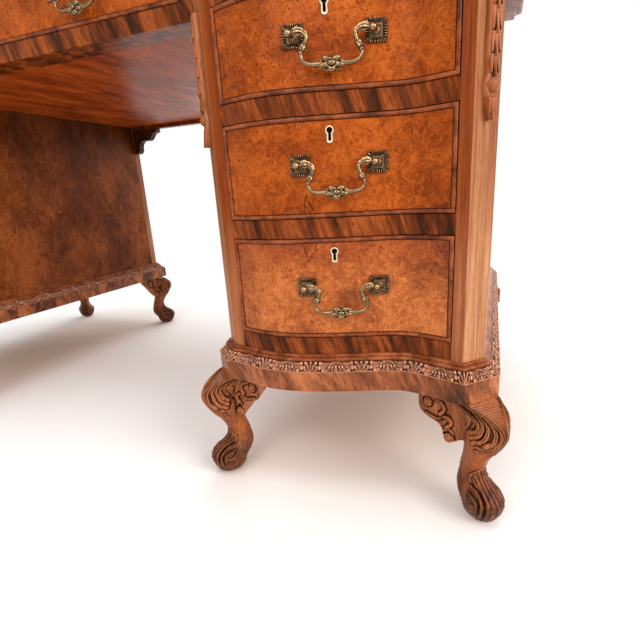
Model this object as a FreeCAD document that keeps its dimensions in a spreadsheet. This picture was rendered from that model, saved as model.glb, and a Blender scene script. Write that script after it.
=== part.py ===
import FreeCAD, Part
import math
import os
import re

from FreeCAD import Placement, Rotation, Vector

# A twin-pedestal kneehole desk with serpentine drawer fronts on eight cabriole legs.
# X runs to the right, Y to the back, Z up. The origin is on the floor under the middle of the top.

# Driving dimensions in millimetres
SIZES = {
    # Plan of the carcass
    "kneehole_width": 687.0,
    "pedestal_width": 360.0,
    "carcass_depth": 672.0,
    "frame_depth": 70.0,
    # Heights from the floor up
    "leg_height": 160.0,
    "plinth_height": 27.0,
    "moulding_height": 19.0,
    "bottom_rail_height": 22.5,
    "lower_drawer_height": 129.0,
    "middle_drawer_height": 115.0,
    "upper_drawer_height": 105.0,
    "top_drawer_height": 90.0,
    "rail_height": 23.0,
    "top_rail_height": 15.0,
    # Serpentine front and canted corners
    "bulge": 16.0,
    "hollow": 20.5,
    "cant_width": 24.3,
    "cant_depth": 25.2,
    "stile_width": 14.1,
    # Carcass boards
    "side_thickness": 18.0,
    "rear_post_width": 32.0,
    "rear_post_depth": 19.0,
    "back_thickness": 10.0,
    "back_setback": 4.0,
    "floor_thickness": 8.0,
    "runner_reach": 14.0,
    "guide_height": 20.0,
    # Base
    "plinth_overhang": 18.0,
    "moulding_overhang": 19.5,
    "moulding_top_overhang": 2.0,
    "leg_throw": 25.0,
    "knee_radius": 34.0,
    "rear_leg_inset": 14.3,
    "ear_reach": 60.5,
    "ear_drop": 62.0,
    "ear_thickness": 20.0,
    "ear_setback": 8.0,
    # Writing top
    "top_overhang": 38.0,
    "top_edge_height": 17.0,
    "top_under_overhang": 27.0,
    "top_under_height": 10.0,
    "top_recess": 20.0,
    "leather_margin": 62.0,
    "leather_thickness": 1.5,
    "leather_gap": 0.3,
    # Knee space
    "kneehole_stile": 20.0,
    "underboard_thickness": 8.0,
    "rear_rail_thickness": 18.0,
    "rear_rail_drop": 9.5,
    "bracket_width": 92.0,
    "bracket_drop": 66.0,
    # Carved drops on the canted corners
    "drop_length": 150.0,
    "drop_width": 16.0,
    "drop_thickness": 7.0,
    # Drawers
    "drawer_gap": 1.0,
    "runner_gap": 0.3,
    "drawer_rear_gap": 63.0,
    "front_core": 14.0,
    "centre_front_thickness": 22.0,
    "drawer_side_thickness": 10.0,
    "drawer_side_drop": 12.0,
    "drawer_back_thickness": 10.0,
    "drawer_back_drop": 6.0,
    "drawer_bottom_thickness": 6.0,
    "drawer_bottom_lift": 8.0,
    "bead_width": 5.0,
    "bead_depth": 8.0,
    "bead_proud": 2.5,
    # Handles
    "handle_shift": 5.5,
    "handle_lift": 3.5,
    "handle_spacing": 90.6,
    "centre_handle_place": 165.0,
    "plate_size": 26.0,
    "plate_thickness": 2.5,
    "plate_let_in": 0.3,
    "pivot_reach": 11.0,
    "neck_radius": 4.5,
    "ball_radius": 6.0,
    "shank_radius": 2.2,
    "shank_gap": 0.3,
    "nut_radius": 5.0,
    "nut_thickness": 4.0,
    "pin_radius": 1.8,
    "pin_gap": 0.3,
    "pin_tip": 1.5,
    "bail_radius": 2.8,
    "bail_drop": 31.0,
    "bail_loop": 19.5,
    "bail_waist": 11.5,
    "bail_loop_radius": 4.5,
    "bail_corner_radius": 9.0,
    "flower_radius": 7.0,
    "flower_length": 22.0,
    # Locks
    "keyhole_drop": 17.0,
    "escutcheon_radius": 5.2,
    "escutcheon_length": 19.0,
    "escutcheon_rim": 1.6,
    "escutcheon_thickness": 1.2,
    "lock_width": 56.0,
    "lock_height": 36.0,
    "lock_thickness": 10.0,
    "lock_drop": 6.0,
}

# Serpentine front from the inner to the outer cant: (share of its length, share of the bulge,
# or of the hollow where it is negative)
FRONT_SHARES = (
    (0.0, 0.0), (0.05, 0.10), (0.14, 0.62), (0.27, 1.0), (0.38, 0.78), (0.51, 0.10),
    (0.62, -0.45), (0.72, -0.90), (0.785, -1.0), (0.85, -0.78), (0.93, -0.36), (1.0, 0.0),
)
# Cabriole leg from the floor up: shares of its height, its throw and its knee radius, and the share
# that the width of a section is of its depth
LEG_SHARES = (
    (0.0, 1.06, 0.38, 0.82), (0.04, 1.0, 0.60, 0.88), (0.12, 1.04, 0.78, 0.90), (0.22, 0.79, 0.90, 0.77),
    (0.33, 0.35, 0.62, 0.72), (0.44, 0.33, 0.49, 0.94), (0.56, 0.63, 0.55, 1.0), (0.70, 0.90, 0.80, 0.82),
    (0.84, 0.88, 0.97, 0.62), (0.93, 0.44, 0.88, 0.90), (1.0, 0.0, 0.66, 0.97),
)
# Lower edge of a knee bracket from its tip to the leg: shares of its reach and drop, as arcs
EAR_SHARES = (
    (1.0, 0.0), (0.998, 0.226), (0.909, 0.435), (0.76, 0.526), (0.545, 0.613), (0.456, 0.71), (0.43, 0.855),
    (0.30, 0.992), (0.0, 0.92),
)
# Lower edge of a knee-space bracket from its tip to the side: shares of its width and drop, as arcs
BRACKET_SHARES = (
    (1.0, 0.15), (0.86, 0.20), (0.76, 0.34), (0.66, 0.46), (0.50, 0.46), (0.34, 0.50), (0.24, 0.72),
    (0.22, 0.92), (0.10, 1.0),
)
# Outline of a corner drop from the top down: shares of its length and half width
DROP_SHARES = ((0.0, 1.0), (0.70, 0.72), (0.76, 1.0), (0.86, 1.0), (0.92, 0.66), (1.0, 0.66))
# Points of the front edge of the top across half the knee space: shares of its half width and recess
TOP_FRONT_SHARES = ((1.0, 0.05), (0.55, 0.72))

doc = FreeCAD.newDocument("KneeholeDesk")
sheet = doc.addObject("Spreadsheet::Sheet", "Dims")
for row, (alias, length) in enumerate(SIZES.items(), start=1):
    sheet.set(f"A{row}", alias)
    sheet.set(f"B{row}", str(length))
    sheet.setAlias(f"B{row}", alias)
doc.recompute()

ALIAS = re.compile(r"[a-z][a-z_]+")
HALVINGS = 50
nodes = []


def size(alias):
    """A driving dimension as a number."""
    return float(sheet.get(alias))


def bind(target, prop, formula):
    """Tie a property to a formula of driving dimensions."""
    target.setExpression(prop, ALIAS.sub(lambda found: "Dims." + found.group(0), formula))


def place(target, at):
    """Tie a position to three formulas."""
    for axis, formula in zip("xyz", at):
        bind(target, "Placement.Base." + axis, formula)


# Places that many pieces share, as formulas
INNER = "(kneehole_width / 2)"
OUTER = "(kneehole_width / 2 + pedestal_width)"
FRONT = "((bulge - carcass_depth) / 2)"
BACK = "((bulge + carcass_depth) / 2)"
PEDESTAL_MIDDLE = f"({INNER} + pedestal_width / 2)"
STILE_INNER = f"({INNER} + cant_width + stile_width)"
STILE_OUTER = f"({OUTER} - cant_width - stile_width)"
PLINTH_TOP = "(leg_height + plinth_height)"
CARCASS_BOTTOM = f"({PLINTH_TOP} + moulding_height)"
LOWER = f"({CARCASS_BOTTOM} + bottom_rail_height)"
MIDDLE = f"({LOWER} + lower_drawer_height + rail_height)"
UPPER = f"({MIDDLE} + middle_drawer_height + rail_height)"
TOP_ROW = f"({UPPER} + upper_drawer_height + rail_height)"
CARCASS_TOP = f"({TOP_ROW} + top_drawer_height + top_rail_height)"
FRONT_BACK = f"({FRONT} + hollow + front_core)"
# Drawer stack of a pedestal: name, bottom of the opening, its height
STACK = (
    ("lower", LOWER, "lower_drawer_height"),
    ("middle", MIDDLE, "middle_drawer_height"),
    ("upper", UPPER, "upper_drawer_height"),
    ("top", TOP_ROW, "top_drawer_height"),
)

# The same places in plan, as numbers for the sketched outlines
inner_x = size("kneehole_width") / 2
outer_x = inner_x + size("pedestal_width")
front_y = (size("bulge") - size("carcass_depth")) / 2
back_y = front_y + size("carcass_depth")
stile_inner_x = inner_x + size("cant_width") + size("stile_width")
stile_outer_x = outer_x - size("cant_width") - size("stile_width")
frame_back_y = front_y + size("frame_depth")
front_back_y = front_y + size("hollow") + size("front_core")


def node(label, target):
    """Name a finished sub-part."""
    target.Label = label
    nodes.append(target)
    return target


def group(label, pieces):
    """Several separate solids that make one sub-part."""
    compound = doc.addObject("Part::Compound", label)
    compound.Links = pieces
    return compound


def mirror(label, source):
    """The same piece on the other side of the desk."""
    twin = doc.addObject("Part::Mirroring", label)
    twin.Source = source
    twin.Normal = Vector(1, 0, 0)
    return twin


def pair(label, piece):
    """A right-hand sub-part and its left-hand mirror image."""
    node("right_" + label, piece)
    node("left_" + label, mirror("left_" + label, piece))


def both(label, pieces):
    """One sub-part that holds right-hand pieces and their mirror images."""
    right = group(label + "_right", pieces)
    node(label, group(label, [right, mirror(label + "_left", right)]))


def board(label, lengths, at):
    """A flat board: its three lengths and its lowest corner."""
    box = doc.addObject("Part::Box", label)
    for prop, formula in zip(("Length", "Width", "Height"), lengths):
        bind(box, prop, formula)
    place(box, at)
    return box


def sketch_on(body, name, role, geometry):
    """A sketch on one of a body's own planes."""
    sketch = body.newObject("Sketcher::SketchObject", name)
    plane = next(feature for feature in body.Origin.OriginFeatures if feature.Role == role)
    sketch.AttachmentSupport = [(plane, "")]
    sketch.MapMode = "FlatFace"
    sketch.addGeometry(geometry, False)
    return sketch


def slab(label, outline, height, bottom):
    """A plan outline raised into a board: its thickness and the level of its underside."""
    body = doc.addObject("PartDesign::Body", label)
    sketch = sketch_on(body, label + "_plan", "XY_Plane", outline)
    pad = body.newObject("PartDesign::Pad", label + "_pad")
    pad.Profile = sketch
    bind(pad, "Length", height)
    bind(body, "Placement.Base.z", bottom)
    return body


def tapered_slab(label, outline, top_outline, height, bottom):
    """A board whose edge slopes from one plan outline to another."""
    body = doc.addObject("PartDesign::Body", label)
    foot = sketch_on(body, label + "_foot", "XY_Plane", outline)
    head = sketch_on(body, label + "_head", "XY_Plane", top_outline)
    bind(head, "AttachmentOffset.Base.z", height)
    loft = body.newObject("PartDesign::AdditiveLoft", label + "_loft")
    loft.Profile = foot
    loft.Sections = [head]
    loft.Ruled = True
    bind(body, "Placement.Base.z", bottom)
    return body


def upright(label, outline, thickness):
    """An outline in the XZ plane, raised backwards by a thickness."""
    body = doc.addObject("PartDesign::Body", label)
    sketch = sketch_on(body, label + "_face", "XZ_Plane", outline)
    pad = body.newObject("PartDesign::Pad", label + "_pad")
    pad.Profile = sketch
    pad.Reversed = True
    bind(pad, "Length", thickness)
    return body


def polygon(points):
    """Straight edges round a closed outline."""
    return [Part.LineSegment(a, b) for a, b in zip(points, points[1:] + points[:1])]


def rectangle(left, right, near, far):
    """A plan rectangle."""
    return polygon([Vector(left, near), Vector(right, near), Vector(right, far), Vector(left, far)])


def arcs_through(points):
    """Arcs, each through three points, that share their ends."""
    return [Part.Arc(*points[start:start + 3]) for start in range(0, len(points) - 2, 2)]


def outward(direction):
    """The side of a plan line that faces out, walking from the inner side round the front."""
    return Vector(direction.y, -direction.x).normalize()


def mitre(corner, before, after, overhang):
    """A corner of the plan moved out by an overhang on both of its sides."""
    first = outward(before)
    second = outward(after)
    return corner + (first + second) * (overhang / (1 + first.dot(second)))


def smooth(points):
    """A smooth curve through plan points."""
    curve = Part.BSplineCurve()
    curve.interpolate(points)
    return curve


def serpentine_points():
    """Plan points of the serpentine front of the right pedestal."""
    start = inner_x + size("cant_width")
    length = size("pedestal_width") - 2 * size("cant_width")
    points = []
    for along_share, swell_share in FRONT_SHARES:
        swell = swell_share * (size("bulge") if swell_share > 0 else size("hollow"))
        points.append(Vector(start + along_share * length, front_y - swell))
    return points


FACE_POINTS = serpentine_points()
FACE = smooth(FACE_POINTS)
INNER_CANT = Vector(size("cant_width"), -size("cant_depth"))
OUTER_CANT = Vector(size("cant_width"), size("cant_depth"))
FORWARD = Vector(0, -1)
BACKWARD = Vector(0, 1)


def face_parameter(curve, x):
    """Where a front curve passes a given x, by halving."""
    low = curve.FirstParameter
    high = curve.LastParameter
    for halving in range(HALVINGS):
        middle = (low + high) / 2
        if curve.value(middle).x < x:
            low = middle
        else:
            high = middle
    return (low + high) / 2


def face_tangent(point):
    """Direction of the serpentine front at one of its points."""
    return FACE.tangent(FACE.parameter(point))[0]


def front_corners(overhang):
    """Plan corners of the pedestal's front, moved out: inner side, curve start, curve end, outer side."""
    first = FACE_POINTS[0]
    last = FACE_POINTS[-1]
    return (
        mitre(first - INNER_CANT, FORWARD, INNER_CANT, overhang),
        mitre(first, INNER_CANT, face_tangent(first), overhang),
        mitre(last, face_tangent(last), OUTER_CANT, overhang),
        mitre(last + OUTER_CANT, OUTER_CANT, BACKWARD, overhang),
    )


def moved_out(points, overhang):
    """Points of the serpentine front, each moved out square to it."""
    return [point + outward(face_tangent(point)) * overhang for point in points]


def front_curve(overhang):
    """The serpentine front moved out by an overhang."""
    inner_side, start, end, outer_side = front_corners(overhang)
    return smooth([start] + moved_out(FACE_POINTS[1:-1], overhang) + [end])


def front_outline(overhang, back):
    """Closed plan of the front of a pedestal down to a straight line at the back."""
    inner_side, start, end, outer_side = front_corners(overhang)
    inner_back = Vector(inner_side.x, back)
    outer_back = Vector(outer_side.x, back)
    corners = [end, outer_side, outer_back, inner_back, inner_side, start]
    return [front_curve(overhang)] + [Part.LineSegment(a, b) for a, b in zip(corners, corners[1:])]


def trimmed_face(left, right, shift):
    """A stretch of the serpentine front, moved back by a shift."""
    stretch = FACE.copy()
    stretch.segment(face_parameter(FACE, left), face_parameter(FACE, right))
    stretch.translate(Vector(0, shift))
    return stretch


def face_to_plane(left, right, shift, back):
    """Closed plan between a stretch of the serpentine front and a straight back."""
    stretch = trimmed_face(left, right, shift)
    corners = [stretch.EndPoint, Vector(right, back), Vector(left, back), stretch.StartPoint]
    return [stretch] + [Part.LineSegment(a, b) for a, b in zip(corners, corners[1:])]


def face_to_face(left, right, shift, back_shift):
    """Closed plan between two parallel stretches of the serpentine front."""
    near = trimmed_face(left, right, shift)
    far = trimmed_face(left, right, back_shift)
    ends = [Part.LineSegment(near.EndPoint, far.EndPoint), Part.LineSegment(far.StartPoint, near.StartPoint)]
    return [near, far] + ends


def pedestal_carcass():
    """Sides, posts, back, floor and rails of the pedestals."""
    side_depth = "(carcass_depth - frame_depth - rear_post_depth)"
    carcass_height = f"({CARCASS_TOP} - {CARCASS_BOTTOM})"
    side_front = f"({FRONT} + frame_depth)"
    for name, left in (("inner_side", INNER), ("outer_side", f"({OUTER} - side_thickness)")):
        pair(name, board("right_" + name, ("side_thickness", side_depth, carcass_height),
                         (left, side_front, CARCASS_BOTTOM)))

    inner_side, start, end, outer_side = front_corners(0)
    outer_stretch = trimmed_face(stile_outer_x, end.x, 0)
    inner_stretch = trimmed_face(start.x, stile_inner_x, 0)
    outer_corners = [outer_stretch.EndPoint, outer_side, Vector(outer_x, frame_back_y),
                     Vector(stile_outer_x, frame_back_y), outer_stretch.StartPoint]
    inner_corners = [inner_stretch.EndPoint, Vector(stile_inner_x, frame_back_y),
                     Vector(inner_x, frame_back_y), inner_side, inner_stretch.StartPoint]
    posts = []
    for name, stretch, corners in (("outer_post", outer_stretch, outer_corners),
                                   ("inner_post", inner_stretch, inner_corners)):
        outline = [stretch] + [Part.LineSegment(a, b) for a, b in zip(corners, corners[1:])]
        posts.append(slab(name, outline, carcass_height, CARCASS_BOTTOM))
    rear_y = f"({BACK} - rear_post_depth)"
    for name, left in (("inner_rear_post", INNER), ("outer_rear_post", f"({OUTER} - rear_post_width)")):
        posts.append(board(name, ("rear_post_width", "rear_post_depth", carcass_height),
                           (left, rear_y, CARCASS_BOTTOM)))
    both("corner_posts", posts)

    both("back_panels", [board(
        "back_panel", ("pedestal_width - 2 * rear_post_width", "back_thickness", carcass_height),
        (f"{INNER} + rear_post_width", f"{BACK} - back_setback - back_thickness", CARCASS_BOTTOM))])
    both("pedestal_floors", [board(
        "pedestal_floor", ("pedestal_width - 2 * side_thickness", side_depth, "floor_thickness"),
        (f"{INNER} + side_thickness", side_front, CARCASS_BOTTOM))])

    outline = face_to_plane(stile_inner_x, stile_outer_x, 0, frame_back_y)
    rails = [slab("bottom_rail", outline, "bottom_rail_height", CARCASS_BOTTOM)]
    for name, bottom, height in STACK:
        above = "top_rail_height" if name == "top" else "rail_height"
        rails.append(slab(name + "_rail", outline, above, f"{bottom} + {height}"))
    pair("drawer_rails", group("right_drawer_rails", rails))


def drawer_supports():
    """Runners under the drawers and guides beside them."""
    pieces = []
    depth = "(carcass_depth - frame_depth - rear_post_depth)"
    near = f"({FRONT} + frame_depth)"
    wall = "(cant_width + stile_width - side_thickness)"
    inner_face = f"({INNER} + side_thickness)"
    outer_face = f"({OUTER} - side_thickness)"
    for name, bottom, height in STACK:
        runner = "(bottom_rail_height - floor_thickness)" if name == "lower" else "rail_height"
        width = f"({wall} + runner_reach)"
        pieces.append(board(name + "_inner_runner", (width, depth, runner),
                            (inner_face, near, f"{bottom} - {runner}")))
        pieces.append(board(name + "_outer_runner", (width, depth, runner),
                            (f"{outer_face} - {width}", near, f"{bottom} - {runner}")))
        pieces.append(board(name + "_inner_guide", (wall, depth, "guide_height"), (inner_face, near, bottom)))
        pieces.append(board(name + "_outer_guide", (wall, depth, "guide_height"),
                            (f"{outer_face} - {wall}", near, bottom)))
    centre_depth = "(carcass_depth - frame_depth - rear_rail_thickness)"
    centre_runner = "(rail_height - underboard_thickness)"
    reach = "(kneehole_stile + runner_reach)"
    pieces.append(board("centre_runner", (reach, centre_depth, centre_runner),
                        (f"{INNER} - {reach}", near, f"{TOP_ROW} - {centre_runner}")))
    pieces.append(board("centre_guide", ("kneehole_stile", centre_depth, "guide_height"),
                        (f"{INNER} - kneehole_stile", near, TOP_ROW)))
    both("drawer_runners", pieces)


def base():
    """Plinth and carved moulding round each pedestal."""
    rear_y = back_y - size("frame_depth")

    def sides(overhang):
        depth = size("frame_depth")
        return (
            front_outline(overhang, frame_back_y),
            rectangle(inner_x - overhang, inner_x + depth, frame_back_y, rear_y),
            rectangle(outer_x - depth, outer_x + overhang, frame_back_y, rear_y),
            rectangle(inner_x - overhang, outer_x + overhang, rear_y, back_y + overhang),
        )

    names = ("front", "inner", "outer", "rear")
    plinth = [slab(f"{name}_plinth", outline, "plinth_height", "leg_height")
              for name, outline in zip(names, sides(size("plinth_overhang")))]
    pair("plinth", group("right_plinth", plinth))
    moulding = [tapered_slab(f"{name}_moulding", outline, top_outline, "moulding_height", PLINTH_TOP)
                for name, outline, top_outline in zip(names, sides(size("moulding_overhang")),
                                                      sides(size("moulding_top_overhang")))]
    pair("carved_moulding", group("right_carved_moulding", moulding))


def cabriole(name):
    """A leg without brackets, thrown out along its own X axis."""
    body = doc.addObject("PartDesign::Body", name)
    rings = []
    for step, (height_share, throw_share, depth_share, width_share) in enumerate(LEG_SHARES):
        middle = Vector(throw_share * size("leg_throw"), 0)
        half_depth = depth_share * size("knee_radius")
        section = Part.Ellipse(middle, half_depth, half_depth * width_share)
        ring = sketch_on(body, f"{name}_ring{step}", "XY_Plane", [section])
        bind(ring, "AttachmentOffset.Base.z", f"leg_height * {height_share}")
        rings.append(ring)
    loft = body.newObject("PartDesign::AdditiveLoft", name + "_loft")
    loft.Profile = rings[0]
    loft.Sections = rings[1:]
    return body


def knee_bracket(name, axis, corner, along):
    """A bracket beside a knee: outer face through a plinth corner, running along the plinth."""
    reach = size("ear_reach")
    drop = size("ear_drop")
    edge = [Vector(along_share * reach, -drop_share * drop) for along_share, drop_share in EAR_SHARES]
    top = Vector(0, 0)
    outline = arcs_through(edge) + [Part.LineSegment(edge[-1], top), Part.LineSegment(top, edge[0])]
    body = upright(name, outline, "ear_thickness")
    inward = Vector(-along.y, along.x)
    if inward.dot(axis - corner) < 0:
        # The outline is drawn towards +X, so a bracket that runs the other way round is turned over
        body.Tip.Reversed = False
        inward = -inward
    foot = corner + along * (axis - corner).dot(along) + inward * size("ear_setback")
    turn = Rotation(Vector(0, 0, 1), math.degrees(math.atan2(along.y, along.x)))
    body.Placement = Placement(Vector(foot.x, foot.y, size("leg_height")), turn)
    bind(body, "Placement.Base.z", "leg_height")
    return body


def legs():
    """Four cabriole legs of a pedestal, each with its two knee brackets."""
    overhang = size("plinth_overhang")
    inner_side, start, end, outer_side = front_corners(overhang)
    curve = front_curve(overhang)
    reach = size("ear_reach")
    start_chord = curve.value(face_parameter(curve, start.x + reach)) - start
    end_chord = curve.value(face_parameter(curve, end.x - reach)) - end
    inset = size("rear_leg_inset")
    inner_rear = Vector(inner_x - overhang, back_y + overhang)
    outer_rear = Vector(outer_x + overhang, back_y + overhang)
    inner_axis = FACE_POINTS[0] - INNER_CANT * 0.5
    outer_axis = FACE_POINTS[-1] + OUTER_CANT * 0.5
    corners = (
        ("inner_front", inner_axis, -135, ((start, start_chord), (inner_side, BACKWARD))),
        ("outer_front", outer_axis, -45, ((end, end_chord), (outer_side, BACKWARD))),
        ("inner_rear", Vector(inner_x + inset, back_y - inset), 135,
         ((inner_rear, Vector(1, 0)), (inner_rear, FORWARD))),
        ("outer_rear", Vector(outer_x - inset, back_y - inset), 45,
         ((outer_rear, Vector(-1, 0)), (outer_rear, FORWARD))),
    )
    pieces = []
    for name, axis, angle, brackets in corners:
        leg = cabriole(name + "_cabriole")
        leg.Placement = Placement(axis, Rotation(Vector(0, 0, 1), angle))
        ears = [knee_bracket(f"{name}_ear{count}", axis, corner, along.normalize())
                for count, (corner, along) in enumerate(brackets)]
        whole = doc.addObject("Part::MultiFuse", name + "_leg")
        whole.Shapes = [leg] + ears
        pieces.append(whole)
    pair("legs", group("right_legs", pieces))


def top_outline(overhang):
    """Plan of the writing top: serpentine over the pedestals, drawn back over the knee space."""
    end, outer_side = front_corners(overhang)[2:]
    half = [end] + moved_out(FACE_POINTS[-2:2:-1], overhang)
    for along_share, recess_share in TOP_FRONT_SHARES:
        half.append(Vector(along_share * inner_x, front_y - overhang + recess_share * size("top_recess")))
    middle = Vector(0, front_y - overhang + size("top_recess"))
    other = [Vector(-point.x, point.y) for point in reversed(half)]
    right_corners = [end, outer_side, Vector(outer_x + overhang, back_y + overhang)]
    corners = right_corners + [Vector(-point.x, point.y) for point in reversed(right_corners)]
    return [smooth(half + [middle] + other)] + [Part.LineSegment(a, b) for a, b in zip(corners, corners[1:])]


def writing_top():
    """The top with its stepped edge, and the leather let into it."""
    body = doc.addObject("PartDesign::Body", "top_board")
    under = sketch_on(body, "top_under", "XY_Plane", top_outline(size("top_under_overhang")))
    under_pad = body.newObject("PartDesign::Pad", "top_under_pad")
    under_pad.Profile = under
    bind(under_pad, "Length", "top_under_height")
    edge = sketch_on(body, "top_edge", "XY_Plane", top_outline(size("top_overhang")))
    bind(edge, "AttachmentOffset.Base.z", "top_under_height")
    edge_pad = body.newObject("PartDesign::Pad", "top_edge_pad")
    edge_pad.Profile = edge
    bind(edge_pad, "Length", "top_edge_height")
    margin = size("leather_margin")
    recess = sketch_on(body, "leather_recess", "XY_Plane", rectangle(
        margin - outer_x, outer_x - margin, front_y + margin, back_y - margin))
    bind(recess, "AttachmentOffset.Base.z", "top_under_height + top_edge_height")
    pocket = body.newObject("PartDesign::Pocket", "leather_pocket")
    pocket.Profile = recess
    bind(pocket, "Length", "leather_thickness")
    bind(body, "Placement.Base.z", CARCASS_TOP)
    node("desktop", body)
    inset = "(leather_margin + leather_gap)"
    node("leather_inset", board(
        "leather", (f"2 * ({OUTER} - {inset})", f"carcass_depth - 2 * {inset}", "leather_thickness"),
        (f"{inset} - {OUTER}", f"{FRONT} + {inset}",
         f"{CARCASS_TOP} + top_under_height + top_edge_height - leather_thickness")))


def knee_space():
    """Rails, underboard and rear brackets between the pedestals."""
    depth = "(frame_depth - cant_depth)"
    near = f"({FRONT} + cant_depth)"
    lower_edge = f"({TOP_ROW} - rail_height)"
    rear_bottom = f"({lower_edge} - rear_rail_drop)"
    rails = [
        board("knee_lower_rail", ("kneehole_width", depth, "rail_height"),
              (f"0 - {INNER}", near, lower_edge)),
        board("knee_upper_rail", ("kneehole_width", depth, "top_rail_height"),
              (f"0 - {INNER}", near, f"{TOP_ROW} + top_drawer_height")),
        board("knee_left_stile", ("kneehole_stile", depth, "top_drawer_height"),
              (f"0 - {INNER}", near, TOP_ROW)),
        board("knee_right_stile", ("kneehole_stile", depth, "top_drawer_height"),
              (f"{INNER} - kneehole_stile", near, TOP_ROW)),
        board("knee_rear_rail", ("kneehole_width", "rear_rail_thickness", f"{CARCASS_TOP} - {rear_bottom}"),
              (f"0 - {INNER}", f"{BACK} - rear_rail_thickness", rear_bottom)),
    ]
    node("kneehole_rails", group("kneehole_rails", rails))
    node("kneehole_underboard", board(
        "underboard",
        ("kneehole_width", "carcass_depth - frame_depth - rear_rail_thickness", "underboard_thickness"),
        (f"0 - {INNER}", f"{FRONT} + frame_depth", lower_edge)))

    width = size("bracket_width")
    drop = size("bracket_drop")
    edge = [Vector(-along_share * width, -drop_share * drop) for along_share, drop_share in BRACKET_SHARES]
    corners = [edge[-1], Vector(0, -drop), Vector(0, 0), Vector(-width, 0), edge[0]]
    outline = arcs_through(edge) + [Part.LineSegment(a, b) for a, b in zip(corners, corners[1:])]
    bracket = upright("knee_bracket", outline, "rear_rail_thickness")
    place(bracket, (INNER, f"{BACK} - rear_rail_thickness", rear_bottom))
    both("kneehole_brackets", [bracket])


def corner_drops():
    """Carved drops on the canted front corners, below the frieze."""
    length = size("drop_length")
    half = size("drop_width") / 2
    right = [Vector(width_share * half, -down_share * length) for down_share, width_share in DROP_SHARES]
    outline = polygon(right + [Vector(-point.x, point.y) for point in reversed(right)])
    pieces = []
    for name, cant, middle in (("inner_drop", INNER_CANT, FACE_POINTS[0] - INNER_CANT * 0.5),
                               ("outer_drop", OUTER_CANT, FACE_POINTS[-1] + OUTER_CANT * 0.5)):
        drop = upright(name, outline, "drop_thickness")
        seat = middle + outward(cant) * size("drop_thickness")
        turn = math.degrees(math.atan2(cant.y, cant.x))
        drop.Placement = Placement(seat, Rotation(Vector(0, 0, 1), turn))
        bind(drop, "Placement.Base.z", f"{TOP_ROW} - rail_height")
        pieces.append(drop)
    both("corner_drops", pieces)


def handle_frame(x, serpentine):
    """Where a handle sits in plan: the middle of its seat and the direction of its bail."""
    if not serpentine:
        return Vector(x, front_y + size("cant_depth")), Vector(1, 0)
    parameter = face_parameter(FACE, x)
    return FACE.value(parameter), FACE.tangent(parameter)[0]


def handle_pivots(seat, along):
    """The two ends of a bail's axis in plan."""
    middle = seat + outward(along) * size("pivot_reach")
    half = along * (size("handle_spacing") / 2)
    return middle - half, middle + half


def front_depth(serpentine):
    """The y of the flat back of a drawer front."""
    if serpentine:
        return front_back_y
    return front_y + size("cant_depth") + size("centre_front_thickness")


def rod(name, radius, length, start, direction, level):
    """A round bar from a plan point along a plan direction."""
    bar = doc.addObject("Part::Cylinder", name)
    bind(bar, "Radius", radius)
    bar.Height = length
    bar.Placement = Placement(start, Rotation(Vector(0, 0, 1), direction))
    bind(bar, "Placement.Base.z", level)
    return bar


def cut(name, base_piece, tool):
    """A piece with another taken out of it."""
    result = doc.addObject("Part::Cut", name)
    result.Base = base_piece
    result.Tool = tool
    return result


def post(name, pivot, inward, serpentine, level):
    """One handle post, bored for the bail's pin: back plate, neck, ball and shank; and its plate alone."""
    seat, along = handle_frame(pivot.x, serpentine)
    facing = outward(along)
    thickness = size("plate_thickness")
    proud = thickness - size("plate_let_in")
    corner = seat + facing * proud - along * (size("plate_size") / 2)
    plate = doc.addObject("Part::Box", name + "_plate")
    for prop, formula in (("Length", "plate_size"), ("Width", "plate_thickness"), ("Height", "plate_size")):
        bind(plate, prop, formula)
    plate.Placement = Placement(corner, Rotation(Vector(1, 0), along))
    bind(plate, "Placement.Base.z", f"{level} - plate_size / 2")
    root = seat + facing * (proud - thickness / 2)
    neck = rod(name + "_neck", "neck_radius", (pivot - root).Length, root, pivot - root, level)
    ball = doc.addObject("Part::Sphere", name + "_ball")
    bind(ball, "Radius", "ball_radius")
    ball.Placement = Placement(pivot, Rotation())
    bind(ball, "Placement.Base.z", level)
    shank_length = front_depth(serpentine) - root.y + 2 * size("nut_thickness")
    shank = rod(name + "_shank", "shank_radius", shank_length, root, BACKWARD, level)
    whole = doc.addObject("Part::MultiFuse", name + "_whole")
    whole.Shapes = [plate, neck, ball, shank]
    whole.Refine = True
    bore_start = pivot + inward * (size("pin_tip") - size("pin_gap"))
    bore = rod(name + "_bore", "pin_radius + pin_gap", size("ball_radius"), bore_start, inward, level)
    return cut(name, whole, bore), plate


def nut(name, pivot, serpentine, level):
    """The nut on a post's shank, against the back of the drawer front."""
    seat, along = handle_frame(pivot.x, serpentine)
    start = Vector(seat.x, front_depth(serpentine))
    thickness = size("nut_thickness")
    disc = rod(name + "_disc", "nut_radius", thickness, start, BACKWARD, level)
    hole = rod(name + "_bore", "shank_radius + shank_gap", thickness, start, BACKWARD, level)
    return cut(name, disc, hole)


def rounded_path(points, radii):
    """Straight runs through points, with an arc at each inner point."""
    pieces = []
    start = points[0]
    for before, corner, after, radius in zip(points, points[1:], points[2:], radii):
        arrive = (corner - before).normalize()
        leave = (after - corner).normalize()
        half_turn = arrive.getAngle(leave) / 2
        reach = radius * math.tan(half_turn)
        middle = corner + (leave - arrive).normalize() * (radius / math.cos(half_turn) - radius)
        pieces.append(Part.LineSegment(start, corner - arrive * reach))
        pieces.append(Part.Arc(corner - arrive * reach, middle, corner + leave * reach))
        start = corner + leave * reach
    pieces.append(Part.LineSegment(start, points[-1]))
    return pieces


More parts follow.
